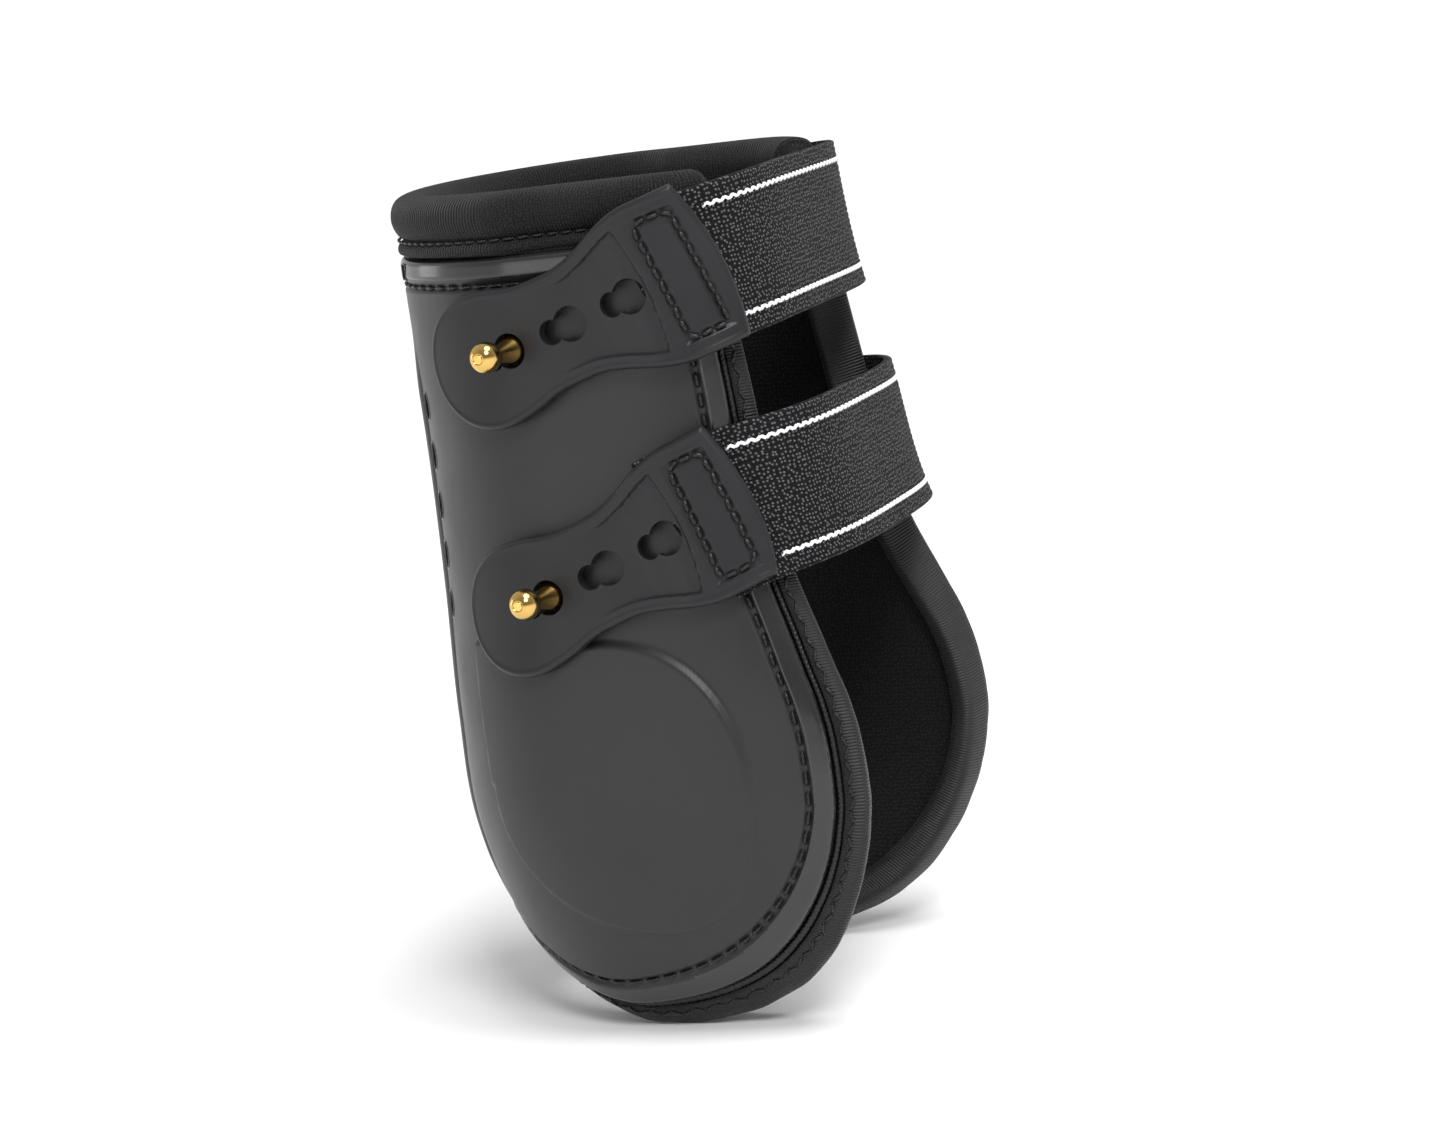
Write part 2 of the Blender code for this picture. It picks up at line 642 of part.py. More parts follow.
class StrapPath:
    """Centre line of one elastic strap, by distance from the front centre, + to the far side."""

    def __init__(self, strap):
        lap_girth, lap_height = tab_place(strap, TAB_LAP, 0.0)
        self.top = lap_height + strap[4]
        self.start = -(half_girth(lap_height) - lap_girth)
        self.power = math.tan(strap[3]) * abs(self.start) / strap[4]
        self.rise = strap[4] / abs(self.start) ** self.power

    def place(self, along, across, lift):
        """Point at a distance along the strap, across its width and out from the skin."""
        along, across, lift = np.broadcast_arrays(
            *(np.asarray(v, float) for v in (along, across, lift)))
        rise = self.rise * np.where(along < 0, 1.0, FAR_FALL)
        centre = self.top - rise * np.abs(along) ** self.power
        slope = -np.sign(along) * rise * self.power * np.abs(along) ** (self.power - 1)
        tilt = np.arctan(slope)
        return lifted(strap_skin, along - across * np.sin(tilt), centre + across * np.cos(tilt),
                      lift)

    def band(self, start, end, steps, lift=ELASTIC_LIFT, thick=ELASTIC_THICK,
             width=ELASTIC_WIDTH):
        along = np.linspace(start, end, steps + 1)[:, None]
        across = np.linspace(-width / 2, width / 2, 4)[None, :]
        return slab(self.place(along, across, lift + thick), self.place(along, across, lift))


def build_strap(strap):
    name = strap[0]
    path = StrapPath(strap)
    elastic = material("elastic_webbing", BLACK, 0.9)
    near_fold = path.start + (TAB_HINGE - TAB_LAP) * math.cos(strap[3])
    far_fold = half_girth(path.top) - FAR_FOLD
    add_object(f"{name}_strap_tab_end", path.band(path.start, near_fold - HINGE_CLEAR, 8), elastic)
    add_object(f"{name}_strap", path.band(near_fold + HINGE_CLEAR, far_fold - HINGE_CLEAR, 32),
               elastic)
    anchor_end = far_fold + ANCHOR_LENGTH
    add_object(f"{name}_strap_anchor_end",
               path.band(far_fold + HINGE_CLEAR, anchor_end, 10), elastic)
    patch_lift = ELASTIC_LIFT + ELASTIC_THICK + GAP
    add_object(f"{name}_anchor_patch",
               path.band(far_fold + PATCH_START, anchor_end + PATCH_PAST, 10, patch_lift,
                         PATCH_THICK, PATCH_WIDTH),
               material("tab_rubber", SHELL_COLOUR, 0.42))
    box = dense(rounded_box(*ANCHOR_SEAM, TAB_SEAM_HALF, 1.6), 2.6)
    seam = path.place(far_fold + 3.0 + box[:, 0], box[:, 1],
                      patch_lift + PATCH_THICK + 0.3 + STITCH_RADIUS)
    add_object(f"{name}_anchor_stitching", tube(seam, STITCH_RADIUS, closed=True),
               material("thread", BLACK, 0.6))
    for fold, label in ((near_fold, "tab_hinge"), (far_fold, "strap_hinge")):
        centre = path.place(fold, 0.0, ELASTIC_LIFT + ELASTIC_THICK / 2)
        axis = path.place(fold, 5.0, 1.2) - path.place(fold, -5.0, 1.2)
        axis /= np.linalg.norm(axis)
        pivot = bpy.data.objects.new(f"{name}_{label}", None)
        pivot.location = Vector(centre) * MM
        pivot.rotation_mode = "QUATERNION"
        pivot.rotation_quaternion = Vector((0, 0, 1)).rotation_difference(Vector(axis))
        bpy.context.scene.collection.objects.link(pivot)


def main():
    for existing in list(bpy.data.objects):
        bpy.data.objects.remove(existing)
    build_shell()
    pad_outer, fabric_inner = build_lining()
    build_edges(pad_outer, fabric_inner)
    build_shell_stitching()
    build_collar()
    for strap in STRAPS:
        build_stud(*strap[:3])
        build_tab(strap)
        build_strap(strap)


main()
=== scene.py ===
"""Looks of an open-front fetlock boot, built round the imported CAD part.

Lengths are in millimetres until a mesh is made. Places on the boot are (girth, height): girth is
the distance round the leg from the back centre line, positive towards the stud side, and lift is
the distance out from the shell's outer face, as in the part's source.
"""
import math

import bpy
import numpy as np
from mathutils import Matrix, Vector, kdtree, noise


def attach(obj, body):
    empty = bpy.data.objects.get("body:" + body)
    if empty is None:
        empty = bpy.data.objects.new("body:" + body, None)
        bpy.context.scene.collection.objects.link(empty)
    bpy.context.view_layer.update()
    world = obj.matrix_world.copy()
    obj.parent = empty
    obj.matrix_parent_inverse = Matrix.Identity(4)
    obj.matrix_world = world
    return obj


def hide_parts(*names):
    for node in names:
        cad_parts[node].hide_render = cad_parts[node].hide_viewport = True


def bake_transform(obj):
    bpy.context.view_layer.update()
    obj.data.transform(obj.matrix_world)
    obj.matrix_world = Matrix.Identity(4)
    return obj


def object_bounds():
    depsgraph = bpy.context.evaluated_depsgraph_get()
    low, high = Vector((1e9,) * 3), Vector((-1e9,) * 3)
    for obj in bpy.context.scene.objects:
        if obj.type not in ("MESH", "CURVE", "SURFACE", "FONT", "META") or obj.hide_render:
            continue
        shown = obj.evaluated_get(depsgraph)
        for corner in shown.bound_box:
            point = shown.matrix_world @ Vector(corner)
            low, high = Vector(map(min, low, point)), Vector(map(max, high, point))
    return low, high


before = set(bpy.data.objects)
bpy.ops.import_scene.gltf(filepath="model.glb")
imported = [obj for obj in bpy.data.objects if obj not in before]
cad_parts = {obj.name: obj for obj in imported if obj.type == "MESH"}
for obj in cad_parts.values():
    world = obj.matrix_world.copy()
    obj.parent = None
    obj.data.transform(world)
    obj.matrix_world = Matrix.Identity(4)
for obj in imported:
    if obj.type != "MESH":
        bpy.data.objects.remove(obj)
cad_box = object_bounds()

MM = 0.001
GAP = 0.4                       # between pieces that lie against each other

# Horizontal section of the shell's outer face: height, rear depth, half width, front depth
SECTIONS = (
    (-52.0, 24.0, 31.0, 60.0),
    (-40.0, 31.0, 36.5, 66.0),
    (-24.0, 40.0, 42.0, 74.0),
    (-4.0, 45.5, 45.5, 76.0),
    (18.0, 46.0, 45.0, 70.0),
    (45.0, 45.0, 42.5, 53.0),
    (80.0, 44.5, 40.5, 46.0),
    (100.0, 45.0, 40.0, 42.0),
    (132.0, 45.0, 40.0, 39.0),
)
FLANK_START = 8.0               # ahead of the leg's axis, where the flanks start to close in
FLANK_POWER = 3.6               # squareness of the section ahead of that

# Outline of the lining, opened flat
FRONT_REACH = (
    (-10.0, 125.0), (6.0, 126.5), (20.0, 124.5), (33.0, 119.5), (48.0, 113.5),
    (65.0, 110.0), (85.0, 108.0), (132.0, 106.5),
)
WIDEST = 4.0                    # height where the front edge reaches furthest forward
HEM_LOW = -47.0                 # lowest point of the lining
HEM_BACK = -29.0                # its height on the back centre line
HEM_LOW_GIRTH = 50.0
HEM_POWER = 1.75                # squareness of the lower front corners
COLLAR_TOP = 126.0
SHELL_TOP = 113.5
PAD_TOP = 113.0

SHELL_THICK = 2.6
SHELL_INSET = 6.8               # shell edge inside the lining's edge
PAD_THICK = 4.6
FABRIC_THICK = 0.8
PANEL_RISE = 0.8
PANEL_GIRTH, PANEL_HEIGHT, PANEL_RADIUS = 73.0, 6.5, 30.5
PANEL_CORNER = 3.5              # how far its upper rear corner reaches past the disc
SPINE_RISE = 0.8
SPINE_HALF = 20.0
SPINE_LOW, SPINE_HIGH = (-30, -10), (100, 84)      # heights where the spine fades in and out
STITCH_INSET = SHELL_INSET + 5.2
SEAM_DROP = 5.5                 # top seam below the shell's top edge

VENT_GIRTH = 24.0
VENT_TOP = 83.3
VENT_PITCH = 10.25
VENT_COUNT = 5
VENT_WIDTH, VENT_HEIGHT = 4.4, 5.6
SLOT_WIDTH, SLOT_HEIGHT = 3.6, 3.0

# Straps: name, stud girth, stud height, tab slope, height gained by the strap after the seam
STRAPS = (
    ("upper", 60.5, 95.5, math.radians(18.0), 5.0),
    ("lower", 63.5, 46.5, math.radians(22.0), 6.0),
)
ELASTIC_WIDTH = 30.0
ELASTIC_THICK = 1.6
ELASTIC_LIFT = GAP
TAB_THICK = 2.8
TAB_LOW = PANEL_RISE + GAP
TAB_RAISED = ELASTIC_LIFT + ELASTIC_THICK + GAP
TAB_LOBE_RADIUS, TAB_LOBE_BACK = 13.6, 6.2
TAB_NECK, TAB_HEAD = 10.9, 16.3
TAB_FRONT = 44.0
TAB_SEAM = (33.5, 40.0)         # rear and front of the stitched box
TAB_SEAM_HALF = 12.2
TAB_LAP = 29.0                  # where the elastic ends under the tab
TAB_HINGE = 45.0
KEYHOLES = (0.0, 13.5, 27.0)
KEYHOLE_BIG, KEYHOLE_SMALL, KEYHOLE_STEP = 3.5, 2.5, 4.2
FAR_FOLD = 97.0                 # girth of the fold where each strap leaves the far flank
FAR_FALL = 0.4                  # how steeply the far end slopes down, beside the near one
ANCHOR_LENGTH = 26.0
ANCHOR_SEAM = (4.0, 20.0)
PATCH_START, PATCH_PAST = 3.3, 3.0       # patch's start behind the fold, and its end past the elastic's
PATCH_THICK, PATCH_WIDTH = 1.4, 33.0


# ---------------------------------------------------------------- curves and surfaces

def smooth_table(keys, at, column):
    """Smooth curve through a table's rows, read at the heights in its first column."""
    rows = np.array(keys, float)
    x, y = rows[:, 0], rows[:, column]
    slope = np.gradient(y, x)
    at = np.clip(np.asarray(at, float), x[0], x[-1])
    i = np.clip(np.searchsorted(x, at) - 1, 0, len(x) - 2)
    span = x[i + 1] - x[i]
    t = (at - x[i]) / span
    rise = t * t * (3 - 2 * t)
    return (y[i] * (1 - rise) + y[i + 1] * rise
            + span * (slope[i] * t * (1 - t) ** 2 - slope[i + 1] * t * t * (1 - t)))


def smoothstep(low, high, value):
    t = np.clip((value - low) / (high - low), 0, 1)
    return t * t * (3 - 2 * t)


def front_curve(angle, half, front):
    """Squared-off front of a section, by the angle from straight out to the side."""
    depth = front - FLANK_START
    reach = ((np.abs(np.sin(angle)) / depth) ** FLANK_POWER
             + (np.abs(np.cos(angle)) / half) ** FLANK_POWER) ** (-1 / FLANK_POWER)
    return FLANK_START + reach * np.sin(angle), reach * np.cos(angle)


def section_at(height):
    return (smooth_table(SECTIONS, height, k) for k in (1, 2, 3))


def rear_girth(height):
    """Girth from the back line to the level of the leg's axis."""
    rear, half, _ = section_at(height)
    return math.pi / 2 * np.sqrt((rear ** 2 + half ** 2) / 2)


TABLE_HEIGHTS = np.linspace(SECTIONS[0][0], SECTIONS[-1][0], 24)
TABLE_ANGLES = np.linspace(0, math.pi / 2, 241)


def front_lengths(height):
    """Distance round the front curve at each table angle, from where the flank starts."""
    _, half, front = section_at(height)
    x, y = front_curve(TABLE_ANGLES, half, front)
    return np.concatenate([[0], np.cumsum(np.hypot(np.diff(x), np.diff(y)))])


FRONT_TABLE = np.array([front_lengths(h) for h in TABLE_HEIGHTS])


def half_girth(height):
    """Girth from the back line to the front centre line."""
    return (rear_girth(height) + FLANK_START
            + np.interp(height, TABLE_HEIGHTS, FRONT_TABLE[:, -1]))


def front_angle(length, height):
    """Angle on the front curve at a distance round it."""
    rows = len(TABLE_HEIGHTS)
    place = np.clip(np.interp(height, TABLE_HEIGHTS, np.arange(rows)), 0, rows - 1.001)
    row = place.astype(int)
    found = np.zeros_like(length)
    for k in np.unique(row):
        here = row == k
        low, high = (np.interp(length[here], FRONT_TABLE[m], TABLE_ANGLES) for m in (k, k + 1))
        share = place[here] - k
        found[here] = low * (1 - share) + high * share
    return found


def skin(girth, height):
    """Point of the shell's outer face, carried on round the open front of the leg."""
    girth, height = (np.array(v) for v in np.broadcast_arrays(np.asarray(girth, float),
                                                              np.asarray(height, float)))
    rear, half, front = section_at(height)
    quarter = rear_girth(height)
    along = np.abs(girth)
    turn = np.minimum(along / quarter, 1) * math.pi / 2
    ahead = np.maximum(along - quarter, 0)
    angle = front_angle(np.maximum(ahead - FLANK_START, 0), height)
    front_x, front_y = front_curve(angle, half, front)
    on_front = ahead > FLANK_START
    x = np.where(on_front, front_x, np.minimum(ahead, FLANK_START) - rear * np.cos(turn))
    y = np.where(on_front, front_y, half * np.sin(turn))
    return np.stack([x, -np.sign(girth) * y, height], -1)


def lifted(surface, a, b, lift):
    """Point at a distance lift outside a surface that is given by two numbers."""
    step = 0.05
    normal = np.cross(surface(a + step, b) - surface(a - step, b),
                      surface(a, b + step) - surface(a, b - step))
    normal /= np.linalg.norm(normal, axis=-1, keepdims=True)
    return surface(a, b) + normal * np.asarray(lift, float)[..., None]


def on_boot(girth, height, lift):
    girth, height, lift = np.broadcast_arrays(*(np.asarray(v, float) for v in (girth, height, lift)))
    return lifted(skin, girth, height, lift)


def seam_line(girth, height, level):
    """Places of a line on the boot, and which way is out from it."""
    path = on_boot(girth, height, level)
    return path, on_boot(girth, height, level + 1) - path


def hem(across, inset):
    """Girth and height of the bottom outline, across = 0 at the back to 1 at the widest point."""
    reach = smooth_table(FRONT_REACH, WIDEST, 1) - inset
    low, back = HEM_LOW + inset, HEM_BACK + inset
    split = 0.36
    turn = np.clip((across - split) / (1 - split), 0, 1) * math.pi / 2
    round_girth = HEM_LOW_GIRTH + (reach - HEM_LOW_GIRTH) * np.sin(turn) ** (2 / HEM_POWER)
    round_height = WIDEST - (WIDEST - low) * np.cos(turn) ** (2 / HEM_POWER)
    straight = HEM_LOW_GIRTH * np.minimum(across / split, 1)
    drop = np.sin(math.pi / 2 * straight / HEM_LOW_GIRTH) ** 2
    behind = across < split
    return (np.where(behind, straight, round_girth),
            np.where(behind, back + (low - back) * drop, round_height))


def layer_grid(inset, top, across, up):
    """Girth and height of a grid that fills the boot's outline, drawn in by inset."""
    across, up = across[:, None], up[None, :]
    low_girth, low_height = hem(np.abs(across), inset)
    reach = smooth_table(FRONT_REACH, WIDEST + (top - WIDEST) * up, 1) - inset
    settle = smoothstep(0, 1, up)
    girth = low_girth * reach / reach[0, 0] * (1 - settle) + np.abs(across) * reach * settle
    return np.sign(across) * girth, low_height + (top - low_height) * up


def edge_point(along, inset, top):
    """Outline from the stud side's top (-1) down, round the hem and up the far side (1)."""
    up_share = 0.36
    run = np.abs(along)
    rise = np.clip((run - (1 - up_share)) / up_share, 0, 1)
    height = WIDEST + (top - WIDEST) * rise
    hem_girth, hem_height = hem(np.minimum(run / (1 - up_share), 1), inset)
    on_hem = run < 1 - up_share
    girth = np.where(on_hem, hem_girth, smooth_table(FRONT_REACH, height, 1) - inset)
    return -np.sign(along) * girth, np.where(on_hem, hem_height, height)


def strap_skin(along, height):
    """The skin by the distance from the front centre line, positive on the far side."""
    side = np.where(np.asarray(along) < 0, 1.0, -1.0)
    return skin(side * (half_girth(height) - np.abs(along)), height)




# ---------------------------------------------------------------- meshes

def in_scene(name, data):
    made = bpy.data.objects.new(name, data)
    bpy.context.scene.collection.objects.link(made)
    return made


def mesh_object(name, points, faces, finishes, uv=None, face_finish=None):
    """Smooth-shaded object from points in millimetres; uv is one pair of millimetres a point."""
    mesh = bpy.data.meshes.new(name)
    mesh.from_pydata((np.asarray(points) * MM).tolist(), [], faces)
    for finish in finishes:
        mesh.materials.append(finish)
    if uv is not None:
        corners = np.empty(len(mesh.loops), dtype=np.int32)
        mesh.loops.foreach_get("vertex_index", corners)
        layer = mesh.uv_layers.new(name="UVMap")
        layer.data.foreach_set("uv", np.asarray(uv, np.float32)[corners].ravel())
    if face_finish is not None:
        mesh.polygons.foreach_set("material_index", np.asarray(face_finish, np.int32))
    mesh.shade_smooth()
    mesh.update()
    return in_scene(name, mesh)


def slab_faces(columns, rows):
    """Quads of a closed slab: the outer grid, the inner grid and the wall between them."""
    index = np.arange(columns * rows).reshape(columns, rows)
    a, b, c, d = index[:-1, :-1], index[1:, :-1], index[1:, 1:], index[:-1, 1:]
    outer = np.stack([a, b, c, d], -1).reshape(-1, 4)
    inner = np.stack([a, d, c, b], -1).reshape(-1, 4) + columns * rows
    ring = np.concatenate([index[:, 0], index[-1, 1:], index[-2::-1, -1], index[0, -2:0:-1]])
    after = np.roll(ring, -1)
    wall = np.stack([after, ring, ring + columns * rows, after + columns * rows], -1)
    return np.concatenate([outer, inner, wall])


def facing_out(made):
    """Turn a closed mesh's faces outward."""
    mesh = made.data
    points = np.empty(len(mesh.vertices) * 3)
    mesh.vertices.foreach_get("co", points)
    points = points.reshape(-1, 3)
    mesh.calc_loop_triangles()
    corners = np.empty(len(mesh.loop_triangles) * 3, dtype=np.int32)
    mesh.loop_triangles.foreach_get("vertices", corners)
    a, b, c = (points[corners.reshape(-1, 3)[:, k]] for k in range(3))
    if np.einsum("ij,ij->i", a, np.cross(b, c)).sum() < 0:
        mesh.flip_normals()
    return made


def slab(name, outer, inner, finishes, uv, face_finish=None):
    columns, rows = outer.shape[:2]
    points = np.concatenate([outer.reshape(-1, 3), inner.reshape(-1, 3)])
    both = np.concatenate([uv.reshape(-1, 2)] * 2)
    return facing_out(mesh_object(name, points, slab_faces(columns, rows).tolist(), finishes,
                                  both, face_finish))


def tubes(name, runs, finish, closed=False):
    """One object from many tubes, each an array of rings by sides by 3, with uv down its length."""
    points, faces, uvs, start = [], [], [], 0
    for rings in runs:
        count, sides = rings.shape[:2]
        index = start + np.arange(count * sides).reshape(count, sides)
        first = index if closed else index[:-1]
        after = np.roll(index, -1, 0) if closed else index[1:]
        faces += np.stack([first, np.roll(first, -1, 1), np.roll(after, -1, 1), after],
                          -1).reshape(-1, 4).tolist()
        if not closed:
            faces += [index[0].tolist(), index[-1, ::-1].tolist()]
        step = np.linalg.norm(np.diff(rings.mean(1), axis=0), axis=-1)
        along = np.concatenate([[0], np.cumsum(step)])
        around = np.cumsum(np.linalg.norm(np.diff(rings[count // 2], axis=0, append=rings[count // 2][:1]),
                                          axis=-1))
        uvs.append(np.stack(np.broadcast_arrays(along[:, None], around[None, :]), -1))
        points.append(rings.reshape(-1, 3))
        start += count * sides
    return facing_out(mesh_object(name, np.concatenate(points), faces, [finish],
                                  np.concatenate([u.reshape(-1, 2) for u in uvs])))


def unit(v):
    return v / np.maximum(np.linalg.norm(v, axis=-1, keepdims=True), 1e-9)


def rings_along(path, out, radius, sides=8, closed=False):
    """Rings of a round tube on a path whose outward directions are known."""
    if closed:
        along = unit(np.roll(path, -1, 0) - np.roll(path, 1, 0))
    else:
        along = unit(np.gradient(path, axis=0))
    side = unit(np.cross(along, out))
    up = np.cross(side, along)
    turn = np.linspace(0, 2 * math.pi, sides, endpoint=False)
    radius = np.broadcast_to(radius, len(path))[:, None, None]
    return (path[:, None] + radius * (side[:, None] * np.cos(turn)[None, :, None]
                                      + up[:, None] * np.sin(turn)[None, :, None]))


def stitches(name, path, out, finish, length=3.1, pitch=4.0, radius=0.34, rise=0.45, sway=0.0):
    """A row of separate stitches down a path, each dipping into the surface at its ends."""
    run = np.concatenate([[0], np.cumsum(np.linalg.norm(np.diff(path, axis=0), axis=-1))])
    count = max(1, int(run[-1] / pitch))
    t = np.linspace(0, 1, 9)
    runs = []
    for k in range(count):
        at = (k + 0.5) * run[-1] / count + (t - 0.5) * length
        here = np.stack([np.interp(at, run, path[:, j]) for j in range(3)], -1)
        up = unit(np.stack([np.interp(at, run, out[:, j]) for j in range(3)], -1))
        side = unit(np.cross(unit(np.gradient(here, axis=0)), up))
        lean = sway * (1 if k % 2 else -1) * (2 * t - 1)
        arch = rise * (1 - (2 * t - 1) ** 4) - 0.25
        here = here + side * lean[:, None] + up * arch[:, None]
        thin = radius * np.maximum(1 - np.abs(2 * t - 1) ** 7, 0.25)
        runs.append(rings_along(here, up, thin))
    return tubes(name, runs, finish)


def nearest(girth, height, line):
    """Distance from each place to a line of (girth, height) places."""
    tree = kdtree.KDTree(len(line))
    for k, (a, b) in enumerate(line):
        tree.insert((a, b, 0.0), k)
    tree.balance()
    flat = zip(girth.ravel().tolist(), height.ravel().tolist())
    return np.array([tree.find((a, b, 0.0))[2] for a, b in flat]).reshape(girth.shape)


def spaced(length, fine, coarse, border):
    """Grid positions from 0 to 1, closer together near both ends."""
    places = [0.0]
    while places[-1] < length:
        near = min(places[-1], length - places[-1]) < border
        places.append(places[-1] + (fine if near else coarse))
    return np.array(places) / places[-1]


def wobble(points, scale, seed):
    """Smooth unevenness of hand-made fabric, -1 to 1, at points in millimetres."""
    flat = points.reshape(-1, 3)
    values = [noise.noise(Vector(p) / scale + Vector((seed, seed, 0))) for p in flat]
    return np.array(values).reshape(points.shape[:-1])


def cut(made, cutters):
    """Cut closed meshes out of a piece, and leave the result in its mesh."""
    for k, cutter in enumerate(cutters):
        hole = made.modifiers.new(f"hole_{k}", "BOOLEAN")
        hole.operation, hole.solver, hole.object = "DIFFERENCE", "EXACT", cutter
    graph = bpy.context.evaluated_depsgraph_get()
    mesh = bpy.data.meshes.new_from_object(made.evaluated_get(graph))
    made.modifiers.clear()
    made.data = mesh
    for cutter in cutters:
        bpy.data.objects.remove(cutter)
    mesh.set_sharp_from_angle(angle=math.radians(50))
    return made


def frame_at(girth, height):
    """Point on the shell's face there, and its forward, upward and outward directions."""
    point = on_boot(girth, height, 0.0)
    out = on_boot(girth, height, 1.0) - point
    forward = np.cross((0.0, 0.0, 1.0), out) * (1 if girth > 0 else -1)
    forward /= np.linalg.norm(forward)
    up = np.cross(out, forward) * (1 if girth > 0 else -1)
    return point, forward, up, out


def prism(name, outline, girth, height, slope, low, high):
    """Cutter with a flat outline, standing square on the shell at one place."""
    point, forward, up, out = frame_at(girth, height)
    along = forward * math.cos(slope) + up * math.sin(slope)
    across = up * math.cos(slope) - forward * math.sin(slope)
    rings = np.array([[point + along * a + across * b + out * h for a, b in outline]
                      for h in (low, high)])
    return tubes(name, [rings], thread)


def oval(width, height, steps):
    turn = np.linspace(0, 2 * math.pi, steps, endpoint=False)
    return np.stack([width / 2 * np.cos(turn), height / 2 * np.sin(turn)], -1)


def add(made, body, slot, *nodes):
    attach(made, body)
    if nodes:
        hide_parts(*nodes)
    return made


# ---------------------------------------------------------------- finishes

def remap(nodes, links, value, before, after):
    """Output of a node that maps one range of a value onto another."""
    node = nodes.new("ShaderNodeMapRange")
    links.new(value, node.inputs["Value"])
    node.inputs["From Min"].default_value, node.inputs["From Max"].default_value = before
    node.inputs["To Min"].default_value, node.inputs["To Max"].default_value = after
    return node.outputs["Result"]


def finish(name, colour, rough, metallic=0.0, spread=0.05, mottle=0.12, grain=9.0, grain_depth=0.03,
           ribs=None, cells=None, sheen=0.0, coat=0.0, flecks=None, twist=None, gloss=0.5):
    """Procedural finish on uv in millimetres. ribs: (period, direction, depth);
    cells: (size, depth); flecks: (colour, size, amount); twist: (period, depth)."""
    made = bpy.data.materials.new(name)
    made.use_nodes = True
    nodes, links = made.node_tree.nodes, made.node_tree.links
    shader = nodes["Principled BSDF"]
    shader.inputs["Base Color"].default_value = (*colour, 1)
    shader.inputs["Metallic"].default_value = metallic
    shader.inputs["Specular IOR Level"].default_value = gloss
    shader.inputs["Sheen Weight"].default_value = sheen
    shader.inputs["Sheen Roughness"].default_value = 0.4
    shader.inputs["Coat Weight"].default_value = coat
    shader.inputs["Coat Roughness"].default_value = 0.08
    made.diffuse_color = (*colour, 1)
    solid = nodes.new("ShaderNodeTexCoord").outputs["Object"]
    flat = nodes.new("ShaderNodeUVMap").outputs["UV"]

    def texture(kind, source, scale, **settings):
        node = nodes.new(kind)
        links.new(source, node.inputs["Vector"])
        node.inputs["Scale"].default_value = scale
        for key, value in settings.items():
            if key in node.inputs:
                node.inputs[key].default_value = value
            else:
                setattr(node, key, value)
        return node

    def spread_to(value, low, high):
        return remap(nodes, links, value, (0.3, 0.7), (low, high))

    cloud = texture("ShaderNodeTexNoise", solid, 60.0, Detail=5.0, Roughness=0.6).outputs["Fac"]
    links.new(spread_to(cloud, rough - spread, rough + spread), shader.inputs["Roughness"])
    tint = nodes.new("ShaderNodeMix")
    tint.data_type, tint.blend_type = "RGBA", "MIX"
    links.new(spread_to(cloud, 0.0, 1.0), tint.inputs["Factor"])
    tint.inputs["A"].default_value = (*(c * (1 - mottle) for c in colour), 1)
    tint.inputs["B"].default_value = (*(c * (1 + mottle) for c in colour), 1)
    shade = tint.outputs["Result"]
    bump = None

    def add_bump(height, depth):
        nonlocal bump
        node = nodes.new("ShaderNodeBump")
        node.inputs["Strength"].default_value = 1.0
        node.inputs["Distance"].default_value = depth * MM
        links.new(height, node.inputs["Height"])
        if bump is not None:
            links.new(bump, node.inputs["Normal"])
        bump = node.outputs["Normal"]

    if grain_depth:
        fine = texture("ShaderNodeTexNoise", solid, 1000.0 * grain / 3, Detail=3.0).outputs["Fac"]
        add_bump(fine, grain_depth)
    if ribs:
        period, direction, depth = ribs
        wave = texture("ShaderNodeTexWave", flat, 0.314 / period, bands_direction=direction,
                       Distortion=0.6, Detail=2.0)
        wave.inputs["Detail Scale"].default_value = 1.5
        add_bump(wave.outputs["Fac"], depth)
    if twist:
        period, depth = twist
        wave = texture("ShaderNodeTexWave", flat, 0.314 / period, bands_direction="DIAGONAL")
        add_bump(wave.outputs["Fac"], depth)
    if cells:
        size, depth = cells
        cell = texture("ShaderNodeTexVoronoi", flat, 1 / size, voronoi_dimensions="2D", Randomness=0.3)
        turned_over = nodes.new("ShaderNodeMath")
        turned_over.operation = "SUBTRACT"
        turned_over.inputs[0].default_value = 1.0
        links.new(cell.outputs["Distance"], turned_over.inputs[1])
        add_bump(turned_over.outputs[0], depth)
    if flecks:
        fleck_colour, size, amount = flecks
        dots = texture("ShaderNodeTexVoronoi", flat, 1 / size, voronoi_dimensions="2D",
                       Randomness=0.6)
        ramp = remap(nodes, links, dots.outputs["Distance"], (0.32, 0.1), (0.0, amount))
        dotted = nodes.new("ShaderNodeMix")
        dotted.data_type = "RGBA"
        links.new(ramp, dotted.inputs["Factor"])
        links.new(shade, dotted.inputs["A"])
        dotted.inputs["B"].default_value = (*fleck_colour, 1)
        shade = dotted.outputs["Result"]
    links.new(shade, shader.inputs["Base Color"])
    if bump is not None:
        links.new(bump, shader.inputs["Normal"])
    return made


